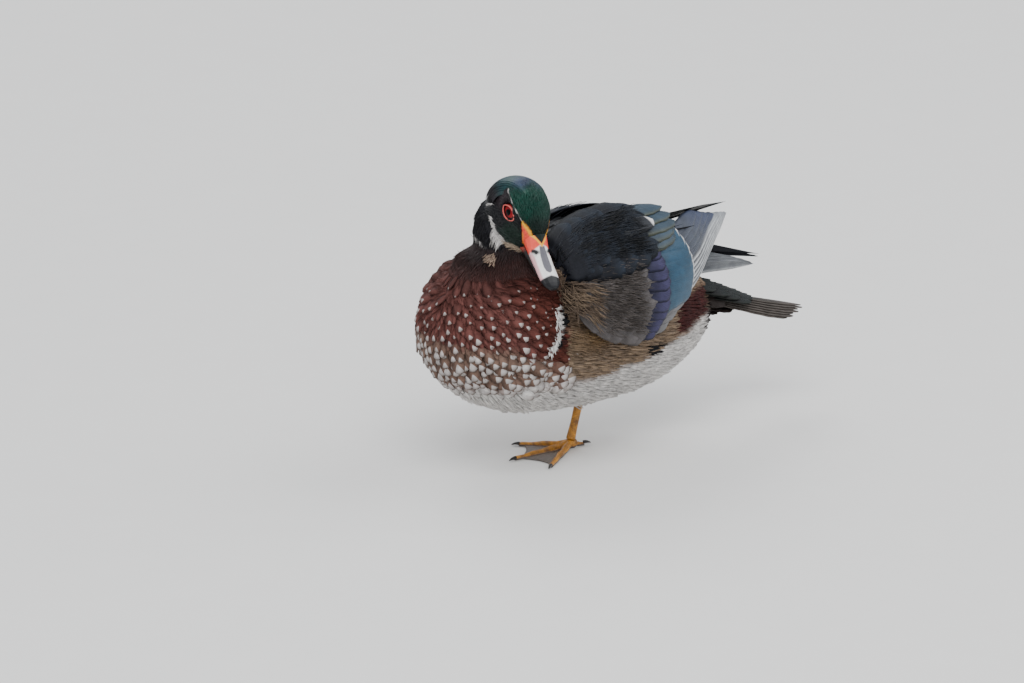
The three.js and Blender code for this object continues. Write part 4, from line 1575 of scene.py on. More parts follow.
@dataclass
class BodyPlumage:
    """The skin of the trunk, neck, head and thighs, and the small feathers on it."""

    pose: HeadPose
    markings: Markings
    feathering: Feathering
    voxel: float = 0.0013
    depth_body: float = 2.3
    depth_head: float = 0.7
    hanging: tuple = (-0.1, 0.0, -1.0)

    def build(self, frame: dict) -> list[bpy.types.Object]:
        """Makes the skin and its coats.


        Returns:
            The skin, then its coats.
        """
        names = ("torso", "neck", "head", "thigh_left", "thigh_right")
        self.skin = remade("body_skin", [frame["nodes"][n] for n in names], self.voxel, 8, 0.0004)
        self._settle()
        self._map()
        self.lie = self.markings.lie(self.points)
        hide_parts(*names)
        self.skin.data.materials.append(SoftFinish("body_down", 0.85, 900.0, 0.5, specular=0.15).material())
        pieces = [self.skin]
        for coat in self._coats():
            lie = self.lie
            if coat.name == "coat_bar":
                lie = np.broadcast_to(np.array(self.hanging), self.lie.shape)
            dress(self.skin, lie, coat.size * self._scale(coat.name)[:, None], self._cover(coat.name))
            pieces.append(self.feathering.grow(self.skin, coat, partial(self._look, coat.name)))
        for spare in ("Lie", "Size", "Cover"):
            self.skin.data.attributes.remove(self.skin.data.attributes[spare])
        tint(self.skin, self.markings.tone(self.points) * 0.9)
        return pieces

    def _settle(self) -> None:
        """Draws the skin in by the depth of the coat."""
        mesh = self.skin.data
        points, normals = body_points(mesh), point_normals(mesh)
        head = self.markings.head_share(points)
        depth = self.depth_body * (1 - head) + self.depth_head * head
        bare = self.markings.bare_bill(points) * head
        points = points - normals * (depth * (1 - bare))[:, None]
        mesh.vertices.foreach_set("co", ((points - BALL_OF_FOOT) / PER_METRE).astype(np.float32).ravel())
        mesh.update()
        self.points = points

    def _map(self) -> None:
        """Lays the skin out flat, under the names that its coats and its own colours use."""
        mesh = self.skin.data
        corner_points = np.empty(len(mesh.loops), dtype=np.int32)
        mesh.loops.foreach_get("vertex_index", corner_points)
        pairs = self._unwrap(mesh, corner_points)
        for name in ("OFBake", "SkinMap"):
            mesh.uv_layers.new(name=name).uv.foreach_set("vector", pairs.astype(np.float32).ravel())

    def _unwrap(self, mesh: bpy.types.Mesh, corner_points: Array) -> Array:
        """Lays the skin out flat: the trunk, the neck and the head each round their own axis.

        Args:
            mesh: The skin's mesh.
            corner_points: The point at each corner of its faces.

        Returns:
            A place on the map for each corner.
        """
        starts = np.empty(len(mesh.polygons), dtype=np.int32)
        mesh.polygons.foreach_get("loop_start", starts)
        totals = np.empty(len(mesh.polygons), dtype=np.int32)
        mesh.polygons.foreach_get("loop_total", totals)
        face_of = np.repeat(np.arange(len(starts)), totals)
        middles = np.add.reduceat(self.points[corner_points], starts) / totals[:, None]
        head = self.markings.head_share(middles) > 0.5
        neck = ~head & (self.markings.neck_share(middles) > 0.5)
        result = np.zeros((len(corner_points), 2))
        own = self.pose.own(self.points)
        charts = (
            (~head & ~neck, self.points - np.array([0, 0, 97]), 0, (0.02, 0.60), (-110, 130), (0.02, 0.98)),
            (neck, self.points - np.array([-52, -5, 0]), 2, (0.66, 0.97), (110, 200), (0.02, 0.44)),
            (head, own, 0, (0.66, 0.97), (-28, 30), (0.52, 0.98)),
        )
        for chosen, place, axis, across, reach, up in charts:
            others = [k for k in range(3) if k != axis]
            middle = np.add.reduceat(place[corner_points], starts) / totals[:, None]
            turn = np.arctan2(middle[:, others[0]], middle[:, others[1]])
            own_turn = np.arctan2(place[corner_points][:, others[0]], place[corner_points][:, others[1]])
            step = (own_turn - turn[face_of] + np.pi) % (2 * np.pi) - np.pi
            u = across[0] + (across[1] - across[0]) * ((turn[face_of] + step) / (2 * np.pi) + 0.5)
            share = (place[corner_points][:, axis] - reach[0]) / (reach[1] - reach[0])
            v = up[0] + (up[1] - up[0]) * np.clip(share, 0, 1)
            picked = chosen[face_of]
            result[picked] = np.stack([u, v], axis=-1)[picked]
        return result

    def _coats(self) -> list[Coat]:
        """The kinds of small feather, from the largest to the finest.

        Returns:
            One coat for each kind.
        """
        return [
            Coat("coat_breast", Form.BROAD, 2.5, 9.0, 4.2, 9, 11),
            Coat("coat_spots", Form.BROAD, 5.9, 11.5, 7.5, 11, 12, marked=True),
            Coat("coat_scales", Form.BROAD, 4.6, 12.5, 9.5, 12, 13, marked=True),
            Coat("coat_breast_hair", Form.HAIR, 1.25, 7.5, 0.6, 13, 14, scatter=1.6),
            Coat("coat_mantle", Form.BROAD, 3.3, 15.0, 7.5, 9, 15, 0.5, 0.25),
            Coat("coat_belly", Form.SLIM, 1.9, 11.0, 2.8, 11, 16),
            Coat("coat_flank", Form.SLIM, 1.8, 12.0, 2.2, 11, 17),
            Coat("coat_side", Form.HAIR, 1.0, 15.0, 0.8, 20, 18, scatter=2.2),
            Coat("coat_bar", Form.SLIM, 0.8, 6.0, 1.2, 27, 21),
            Coat("coat_tufts", Form.HAIR, 0.7, 6.5, 0.8, 38, 22, scatter=2.5),
            Coat("coat_neck", Form.SLIM, 0.95, 5.2, 1.15, 9, 19, 0.5, 0.25),
            Coat("coat_head", Form.SLIM, 0.66, 3.0, 0.9, 6, 20, 0.42, 0.35),
        ]

    def _scale(self, name: str) -> Array:
        """How large a kind of feather is at each point, beside its usual size.

        Args:
            name: The coat's name.

        Returns:
            A factor for each point of the skin.
        """
        if name in ("coat_head", "coat_neck"):
            own = self.pose.own(self.points)
            return 1 - 0.35 * smooth(self.markings.bill_reach(own), -8, 0)
        return np.ones(len(self.points))

    def _cover(self, name: str) -> Array:
        """Where a kind of feather grows, from 0 to 1.

        Args:
            name: The coat's name.

        Returns:
            A number for each point of the skin.
        """
        x, y, z = self.points.T
        marks = self.markings
        head, neck = marks.head_share(self.points), marks.neck_share(self.points)
        trunk = (head < 0.5) & (neck < 0.5)
        belly, scaly = marks.belly_share(self.points), marks.scallop_share(self.points)
        front = trunk & (x < -34)
        mantle = trunk & (x > -36) & (x < 95) & (np.abs(y) < 34) & (z > 136)
        own = self.pose.own(self.points)
        eye = ((own[:, 0] - 2.2) / 6.5) ** 2 + ((own[:, 2] - 0.5) / 4.4) ** 2 > 1
        reach = marks.bill_reach(own)
        stripe = marks.bar_distance(self.points)
        clear = smooth(stripe, 6.0, 10.0)
        to_tufts = [np.linalg.norm(self.points - np.array(tuft), axis=1) for tuft in marks.tufts]
        where = {
            "coat_breast": front & (belly < 0.6),
            "coat_spots": (front & (belly < 0.3) & (scaly < 0.4)) * (1 - smooth(x, -62, -48) * 0.6) * clear,
            "coat_scales": (front & (scaly > 0.25)) * clear,
            "coat_breast_hair": front & (belly < 0.5),
            "coat_mantle": mantle,
            "coat_belly": trunk & (belly > 0.35),
            "coat_flank": trunk & (x > -37) & (belly < 0.65) & ~mantle,
            "coat_side": trunk & (x > -37.5) & (x < -14) & (z > 88) & (z < 138) & (np.abs(y) > 22),
            "coat_bar": trunk & (x < -30) & (stripe < 1.8),
            "coat_tufts": (np.min(to_tufts, axis=0) < 4.2) & (head < 0.5),
            "coat_neck": ~trunk & (head < 0.55),
            "coat_head": (head >= 0.45) & (reach < -0.3) & (eye | (np.abs(own[:, 1]) < 8)),
        }
        return where[name].astype(float)

    def _look(self, name: str, at: Array) -> Look:
        """The colours of feathers of one kind at points of the body.

        Args:
            name: The coat's name.
            at: Where the feathers lie, in body millimetres.

        Returns:
            The look of each feather.
        """
        tone = self.markings.tone(at)
        count = len(at)
        if name == "coat_side":
            streaks = smooth(ripple(at, 5.0, 3.0), -0.2, 0.9) * 0.7
            golden = np.exp(-(((at[:, 0] + 16) / 12) ** 2 + ((at[:, 2] - 98) / 9) ** 2))
            return Look(blend(blend(plain(SIDE_BROWN, count), BUFF, streaks), GOLD, golden * 0.8))
        if name == "coat_bar":
            return Look(plain(WHITE, count))
        if name == "coat_tufts":
            return Look(plain(TUFT, count))
        if name not in ("coat_spots", "coat_scales"):
            return Look(tone)
        random = np.random.default_rng(5).uniform(0.75, 1.25, count)
        if name == "coat_scales":
            return Look(tone, plain(SCALE_TIP, count), 0.44 * random, np.full(count, 0.7))
        size = np.interp(at[:, 2], [84, 100, 116, 132, 146], [0.40, 0.38, 0.27, 0.17, 0.13])
        size = size * (1 - 0.5 * smooth(at[:, 0], -66, -50)) * random
        return Look(tone, plain(SPOT, count), size, np.zeros(count))


# Wings, tail and crest


@dataclass
class SheetPatch:
    """A patch of a sheet, high above it, that small feathers grow on."""

    sheet: Sheet
    reach: tuple[float, float]
    across: tuple[float, float]
    height: float
    drop: float = 0.0

    def build(self, coat: Coat) -> bpy.types.Object:
        """Makes the patch with the values that a coat needs.

        Args:
            coat: The coat.

        Returns:
            The patch as an object.
        """
        count = 30
        share = np.linspace(0, 1, count)
        u, v = (part.ravel() for part in np.meshgrid(share, share, indexing="ij"))
        a = self.reach[0] + (self.reach[1] - self.reach[0]) * u
        b = self.across[0] + (self.across[1] - self.across[0]) * v
        points = self.sheet.at(a, b, np.full(len(a), self.height))
        faces = [
            (i * count + j, (i + 1) * count + j, (i + 1) * count + j + 1, i * count + j + 1)
            for i in range(count - 1) for j in range(count - 1)
        ]
        flat_map = {"SkinMap": np.stack([u, v], axis=-1) * 0.94 + 0.03}
        made = mesh_object(coat.name + "_patch", points, faces, flat_map)
        out = np.array(self.sheet.outward(points))
        if float(np.mean(point_normals(made.data) @ out)) < 0:
            made.data.flip_normals()
        step = unit(self.sheet.spot(a + 0.01, b) - self.sheet.spot(a, b))
        down = unit(self.sheet.spot(a, b - 0.01) - self.sheet.spot(a, b))
        size = np.broadcast_to(coat.size, points.shape)
        edge = np.minimum(np.minimum(u, 1 - u), np.minimum(v, 1 - v))
        cover = smooth(edge + 0.06 * ripple(points, 4.0), 0.0, 0.16)
        dress(made, unit(step + down * self.drop), size, cover)
        return made


@dataclass
class Wing:
    """A folded wing: its arm, a dark core whose colour is painted shade for the gaps under the coverts, tiers
    of flight feathers and coverts, and loose fine feathers.

    A tier's row has the shares along the wing where its roots and its tips lie, how many feathers it has,
    what else its own comment says, and its height.
    """

    side: Side
    feathering: Feathering
    primaries: int = 10
    silver_edged: int = 6
    # Root, tip, count, width, height
    covert_rows: tuple = (
        (0.17, 0.385, 11, 5.6, 5.4), (0.125, 0.335, 11, 5.4, 5.7), (0.085, 0.285, 11, 5.2, 6.0),
        (0.045, 0.225, 10, 5.2, 6.3), (0.01, 0.165, 9, 5.2, 6.5),
    )
    # Root, tip, count, lowest and highest share across, height
    scapular_rows: tuple = (
        (0.25, 0.455, 5, 0.60, 0.97, 6.4), (0.20, 0.405, 6, 0.56, 0.98, 6.8),
        (0.14, 0.345, 6, 0.54, 0.98, 7.2), (0.08, 0.285, 7, 0.55, 0.98, 7.5),
        (0.03, 0.225, 7, 0.58, 0.98, 7.7), (-0.02, 0.16, 6, 0.60, 0.98, 7.8),
    )

    def build(self) -> list[bpy.types.Object]:
        """Makes the wing's pieces.

        Returns:
            The pieces that were made.
        """
        sheet = WingSheet.folded(self.side)
        word = self.side.word
        flight = self._flight(sheet, word)
        coverts = self._coverts(sheet, word)
        hand = self._primaries(sheet, word)
        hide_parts(f"wing_{word}")
        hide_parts(f"wing_{word}_primaries")
        return [flight, coverts, hand, *self._wisps(sheet, word)]

    def _primaries(self, sheet: WingSheet, word: str) -> bpy.types.Object:
        """The long feathers of the hand, the outermost along the lower edge.

        Args:
            sheet: The wing's surface.
            word: The side's name, for the names of pieces.

        Returns:
            The piece.
        """
        mesh = VaneMesh(sheet, 26, 9)
        outer = FeatherPaint(
            (0.08, 0.085, 0.10), end=(0.34, 0.355, 0.38), end_from=0.72, edge=SILVER, edge_size=0.40,
            edge_side=-1,
        )
        inner = FeatherPaint(
            (0.055, 0.065, 0.09), end=(0.05, 0.065, 0.12), end_from=0.8, edge=(0.08, 0.095, 0.13),
            edge_size=0.25, edge_side=-1,
        )
        # Painted shade: the right wing's inner primaries are near black for the shade they lie in over the
        # rump.
        if self.side is Side.RIGHT:
            inner = FeatherPaint((0.012, 0.013, 0.016), end=(0.012, 0.014, 0.022), end_from=0.8)
        for i in range(self.primaries):
            s = i / (self.primaries - 1)
            mesh.add(Vane(
                root=(0.44, 0.08 + 0.40 * s),
                tip=(0.985 - 0.20 * s + 0.05 * math.sin(math.pi * s), 0.25 + 0.58 * s),
                width=6.8, height=-0.4 + 0.12 * i, paint=outer if i < self.silver_edged else inner,
                outline=Outline.BLADE, sink=1.6, tilt=0.11, shaft=-0.35, number=i,
            ))
        finish = FeatherFinish(f"primary_feathers_{word}", 0.5, 0.3, 150.0, 0.3, False)
        return mesh.build(f"primaries_{word}", finish)

    def _flight(self, sheet: WingSheet, word: str) -> bpy.types.Object:
        """The secondaries with their blue patch and white ends, and the tertials over them.

        Args:
            sheet: The wing's surface.
            word: The side's name, for the names of pieces.

        Returns:
            The piece.
        """
        mesh = VaneMesh(sheet, 24, 9)
        grey = FeatherPaint((0.10, 0.095, 0.10), end=(0.13, 0.125, 0.13), end_from=0.6)
        tier(
            mesh, 3, ((0.32, 0.07), (0.32, 0.13)), ((0.475, 0.01), (0.565, 0.10)),
            seed=2, width=5.6, height=2.9, sink=2.0, tilt=0.10, outline=Outline.ROUND, paint=grey, rise=0.05,
        )
        blue = FeatherPaint(
            (0.02, 0.03, 0.045), end=TEAL, end_from=0.5, bar=(0.012, 0.055, 0.105), bar_size=2.4, tip=WHITE,
            tip_size=1.2,
        )
        tier(
            mesh, 8, ((0.30, 0.14), (0.30, 0.70)),
            ((0.60, 0.17), (0.612, 0.30), (0.605, 0.48), (0.58, 0.69)),
            seed=3, width=7.6, height=3.2, sink=2.0, tilt=0.06, outline=Outline.SQUARE, paint=blue, rise=0.05,
        )
        golden = FeatherPaint(
            (0.012, 0.018, 0.026), end=(0.024, 0.052, 0.080), end_from=0.6, edge=(0.07, 0.078, 0.045),
            edge_size=0.22, edge_side=-1,
        )
        tier(
            mesh, 5, ((0.28, 0.62), (0.28, 0.90)), ((0.545, 0.64), (0.60, 0.78), (0.60, 0.95)),
            jitter=0.02, seed=5, width=7.6, height=4.7, sink=3.0, tilt=0.11, outline=Outline.BLADE,
            paint=golden, rise=0.12, ragged=0.05,
        )
        black = FeatherPaint(BLACK, end=(0.010, 0.012, 0.018), end_from=0.5, tip=WHITE, tip_size=3.2)
        mesh.add(Vane(root=(0.26, 0.76), tip=(0.485, 0.80), width=6.4, height=7.4, paint=black, number=2))
        finish = FeatherFinish(f"flight_feathers_{word}", 0.42, 0.28, 110.0, 0.25, False)
        return mesh.build(f"secondaries_{word}", finish)

    def _coverts(self, sheet: WingSheet, word: str) -> bpy.types.Object:
        """The coverts of the arm, in tiers from the secondaries up to the wrist, and the scapulars.

        Args:
            sheet: The wing's surface.
            word: The side's name, for the names of pieces.

        Returns:
            The piece.
        """
        mesh = VaneMesh(sheet, 14, 7)
        self._arm(mesh)
        violet = FeatherPaint(
            (0.022, 0.022, 0.045), end=(0.050, 0.046, 0.105), end_from=0.78, bar=(0.01, 0.01, 0.02),
            bar_size=1.2, edge=(0.02, 0.02, 0.045), edge_size=0.2,
        )
        tier(
            mesh, 12, ((0.22, 0.08), (0.24, 0.72)),
            ((0.40, 0.02), (0.462, 0.12), (0.468, 0.40), (0.445, 0.72)),
            jitter=0.008, seed=8, width=5.4, height=4.8, sink=3.0, tilt=0.10, outline=Outline.SQUARE,
            paint=violet,
        )
        brown = FeatherPaint(
            (0.070, 0.062, 0.060), end=(0.105, 0.095, 0.095), edge=(0.13, 0.115, 0.11), edge_size=0.14
        )
        for k, (root, end, count, width, height) in enumerate(self.covert_rows):
            tier(
                mesh, count, ((root, 0.05), (root + 0.02, 0.60)),
                ((end - 0.03, 0.01), (end, 0.2), (end - 0.01, 0.60)),
                jitter=0.035, seed=20 + k, width=width, height=height, sink=3.0, tilt=0.09, paint=brown,
                ragged=0.10,
            )
        gloss = FeatherPaint((0.008, 0.009, 0.013), end=(0.015, 0.021, 0.032))
        for k, (root, end, count, low, high, height) in enumerate(self.scapular_rows):
            tier(
                mesh, count, ((root, low), (root + 0.02, high)), ((end, low), (end + 0.02, high)),
                jitter=0.05, seed=40 + k, width=8.6, height=height, sink=4.0, tilt=0.06, paint=gloss,
                ragged=0.22,
            )
        finish = FeatherFinish(f"covert_feathers_{word}", 0.55, 0.12, 70.0, 0.35, False)
        return mesh.build(f"coverts_{word}", finish)

    def _arm(self, mesh: VaneMesh) -> None:
        """A broad body under the coverts, from the wrist to the root of the primaries, painted dark as the
        shade that shows between them.

        Args:
            mesh: The coverts' mesh, which it is added to.
        """
        # Painted shade: the core is near black so that gaps between the coverts read as shade.
        dark_core = FeatherPaint((0.035, 0.030, 0.028))
        for low in (0.25, 0.5, 0.75):
            mesh.add(Vane(
                root=(0.0, low), tip=(0.50, low), width=14.0, height=0.8, paint=dark_core, outline=Outline.SQUARE,
                sink=1.0, tilt=0.0, thick=3.6, number=low,
            ))

    def _wisps(self, sheet: WingSheet, word: str) -> list[bpy.types.Object]:
        """Fine loose feathers: brown ones over the wrist and the coverts, black ones over the scapulars.

        Args:
            sheet: The wing's surface.
            word: The side's name, for the names of pieces.

        Returns:
            The pieces that were made.
        """
        plumes = Coat(f"plumes_{word}", Form.HAIR, 1.15, 13.0, 0.8, 12, 31, scatter=2.4)
        wisps = Coat(f"wisps_{word}", Form.HAIR, 1.5, 8.5, 0.7, 8, 32, scatter=1.8)
        mantle = Coat(f"mantle_{word}", Form.HAIR, 1.5, 11.0, 0.8, 5, 33, 0.5, 0.2, scatter=1.5)
        kinds = (
            (plumes, SheetPatch(sheet, (-0.04, 0.10), (0.02, 0.52), 5.6, 0.5),
             (0.13, 0.095, 0.07), (0.24, 0.175, 0.12)),
            (wisps, SheetPatch(sheet, (0.06, 0.34), (0.02, 0.62), 6.6, 0.15),
             (0.080, 0.068, 0.062), (0.13, 0.113, 0.105)),
            (mantle, SheetPatch(sheet, (-0.03, 0.42), (0.56, 0.97), 7.5, 0.1),
             (0.008, 0.009, 0.011), (0.018, 0.023, 0.033)),
        )
        pieces = []
        for coat, patch, dark, light in kinds:
            carrier = patch.build(coat)
            pieces.append(self.feathering.grow(carrier, coat, partial(self._streaks, dark, light)))
            bpy.data.objects.remove(carrier)
        return pieces

    @staticmethod
    def _streaks(dark: Colour, light: Colour, at: Array) -> Look:
        """Streaks of two colours."""
        return Look(blend(plain(dark, len(at)), light, smooth(ripple(at, 4.0), -0.5, 0.7)))


@dataclass
class Tail:
    """The fan of tail feathers with its upper and under coverts."""

    spread: float = 12.5
    pairs: int = 7
    # Root and tip as shares of the tail's length, height, half the width of the row
    upper_rows: tuple = (
        (0.14, 0.50, 1.6, 0.12), (0.04, 0.40, 3.6, 0.13), (-0.06, 0.30, 5.6, 0.14), (-0.16, 0.18, 7.6, 0.14),
    )
    # Root, tip, height
    under_rows: tuple = ((0.10, 0.40, -7.5), (0.02, 0.30, -10.5), (-0.05, 0.20, -13.0))

    def build(self) -> list[bpy.types.Object]:
        """Makes the tail.

        Returns:
            The pieces that were made.
        """
        mesh = VaneMesh(TailSheet(), 24, 7)
        self._fan(mesh)
        black = FeatherPaint(
            (0.011, 0.010, 0.010), end=(0.014, 0.017, 0.016), edge=(0.03, 0.035, 0.03), edge_size=0.2
        )
        for k, (root, end, height, wide) in enumerate(self.upper_rows):
            tier(
                mesh, 7, ((root, -wide * 0.8), (root, wide * 0.8)), ((end, -wide), (end, wide)), curve=0.07,
                jitter=0.02, seed=60 + k, width=6.5, height=height, sink=2.5, tilt=0.0,
                outline=Outline.BLADE, paint=black, rise=0.12,
            )
        under = FeatherPaint((0.020, 0.013, 0.012), end=(0.035, 0.024, 0.021))
        for k, (root, end, height) in enumerate(self.under_rows):
            tier(
                mesh, 6, ((root, -0.10), (root, 0.10)), ((end, -0.11), (end, 0.11)), curve=0.06, jitter=0.02,
                seed=70 + k, width=7.0, height=height, sink=-2.5, tilt=0.0, outline=Outline.BLADE,
                paint=under, rise=-0.1,
            )
        dark_core = FeatherPaint((0.03, 0.022, 0.02))
        for low in (-0.09, 0.0, 0.09):
            mesh.add(Vane(
                root=(-0.2, low), tip=(0.34, low * 0.8), width=11.0, height=-3.4, paint=dark_core, sink=0.0,
                tilt=0.0, thick=11.0, number=low,
            ))
        made = mesh.build("tail_feathers", FeatherFinish("tail_plumes", 0.5, 0.1, 140.0, 0.3, False))
        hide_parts("tail")
        return [made]

    def _fan(self, mesh: VaneMesh) -> None:
        """The long tail feathers, in pairs from the middle outwards.

        Args:
            mesh: The tail's mesh, which they are added to.
        """
        paint = FeatherPaint(
            (0.045, 0.036, 0.030), end=(0.075, 0.062, 0.055), edge=(0.16, 0.14, 0.125), edge_size=0.14
        )
        for pair in range(self.pairs):
            for sign in (-1, 1):
                angle = math.radians((pair + 0.5) * self.spread / self.pairs) * sign
                reach = 1 - 0.030 * pair - 0.02 * ((pair * 3 + sign) % 2)
                mesh.add(Vane(
                    root=(0.10, 0.007 * (pair + 0.5) * sign),
                    tip=(reach * math.cos(angle), reach * math.sin(angle)),
                    width=7.6, height=-0.75 * pair - (0.35 if sign > 0 else 0.0), paint=paint, sink=0.0,
                    tilt=-0.04 * sign, outline=Outline.BLADE, number=pair * 2 + sign,
                ))


@dataclass
class Crest:
    """The long silky feathers from the crown over the nape."""

    pose: HeadPose
    markings: Markings
    strands: int = 15
    # Root, tip, lowest share across, height
    rows: tuple = (
        (0.46, 0.97, -0.06, 0.1), (0.38, 0.90, -0.08, 0.25), (0.30, 0.81, -0.10, 0.4),
        (0.22, 0.71, -0.10, 0.5), (0.14, 0.60, -0.10, 0.6), (0.06, 0.48, -0.08, 0.65),
        (-0.02, 0.36, -0.02, 0.6), (-0.08, 0.24, 0.06, 0.5),
    )

    def build(self) -> list[bpy.types.Object]:
        """Makes the crest.

        Returns:
            The pieces that were made.
        """
        mesh = VaneMesh(CrestSheet(self.pose), 14, 4)
        dark = FeatherPaint((0.004, 0.008, 0.010))
        for low in (0.24, 0.5, 0.76):
            mesh.add(Vane(
                root=(0.05, low), tip=(0.84, low), width=6.5, height=-1.4, paint=dark, outline=Outline.BLADE,
                sink=0.5, tilt=0.0, thick=2.6, sides_down=2.5, number=low,
            ))
        for k, (root, end, low, height) in enumerate(self.rows):
            for half, (first, last) in enumerate(((low, 0.5), (0.5, 1 - low))):
                tier(
                    mesh, self.strands, ((root, first * 0.9 + 0.05), (root, last * 0.9 + 0.05)),
                    ((end, first), (end, last)), jitter=0.045, seed=80 + 2 * k + half, width=1.35,
                    height=height, sink=1.2, tilt=0.0, thick=0.3, outline=Outline.POINTED, paint=dark,
                    sides_down=3.0,
                )
        mesh.colours = [self._tone(points) for points in mesh.points]
        made = mesh.build("crest_feathers", FeatherFinish("crest_gloss", 0.42, 0.35, 50.0, 0.3, False))
        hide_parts("crest")
        return [made]

    def _tone(self, points: Array) -> Array:
        """The colours of one strand."""
        shade = 0.85 + 0.3 * abs(math.sin(float(points.sum()) * 7))
        return self.markings.crown_tone(self.pose.own(points)) * shade


# Head


@dataclass
class Bill:
    """The upper and lower bill, painted by where each point lies on the head."""

    pose: HeadPose
    markings: Markings

    def build(self, frame: dict) -> list[bpy.types.Object]:
        """Makes both halves.


        Returns:
            The pieces that were made.
        """
        finish = SoftFinish("bill_horn", 0.4, 500.0, 0.08, coat=0.05, variation=0.1, specular=0.25).material()
        pieces = []
        for name in ("bill_upper", "bill_lower"):
            made = remade(name + "_horn", [frame["nodes"][name]], 0.00032, 5)
            points = body_points(made.data)
            tint(made, self._upper(points) if name == "bill_upper" else self._lower(points))
            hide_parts(name)
            made.data.materials.append(finish)
            pieces.append(made)
        return pieces

    def _upper(self, points: Array) -> Array:
        """The upper bill: a yellow edge, red, white sides, a grey ridge and a black nail.

        Args:
            points: Points in body millimetres.

        Returns:
            A colour for each point.
        """
        own = self.pose.own(points)
        ahead, right, up = own.T
        side = np.abs(right)
        tone = plain(WHITE, len(points))
        red = 1 - smooth(ahead - 0.35 * side, 26.6, 28.0)
        tone = blend(tone, BILL_RED, red)
        stripe = np.interp(ahead, [28, 34, 42, 45, 46.6], [2.2, 3.1, 3.5, 2.6, 0.0])
        ridge = 1 - smooth(side - stripe, -0.3, 0.4)
        ridge = ridge * smooth(ahead, 27.6, 29) * (1 - smooth(ahead, 45.8, 46.8))
        tone = blend(tone, RIDGE, ridge)
        low_edge = np.maximum(smooth(side, 6.4, 7.6), 1 - smooth(up + 0.10 * ahead, -8.6, -7.8))
        tone = blend(tone, BILL_PINK, low_edge * smooth(ahead, 28, 32) * 0.75)
        tone = blend(tone, NAIL, smooth(ahead - 0.2 * side, 47.6, 48.8))
        reach = self.markings.bill_reach(own)
        tone = blend(tone, BILL_YELLOW, self.markings.yellow_share(own) * smooth(up, -9, -7))
        tone = blend(tone, FOREHEAD_EDGE, 1 - smooth(reach, -0.9, -0.3))
        nostril = np.sqrt(((ahead - 31) / 1.5) ** 2 + (up + 4.6) ** 2)
        return blend(tone, BLACK, (1 - smooth(nostril, 0.9, 1.7)) * smooth(side, 2.5, 3.3))

    def _lower(self, points: Array) -> Array:
        """The lower bill: black, with a red base."""
        ahead = self.pose.own(points)[:, 0]
        return blend(plain(BILL_BLACK, len(points)), BILL_ROOT, 1 - smooth(ahead, 20, 26))


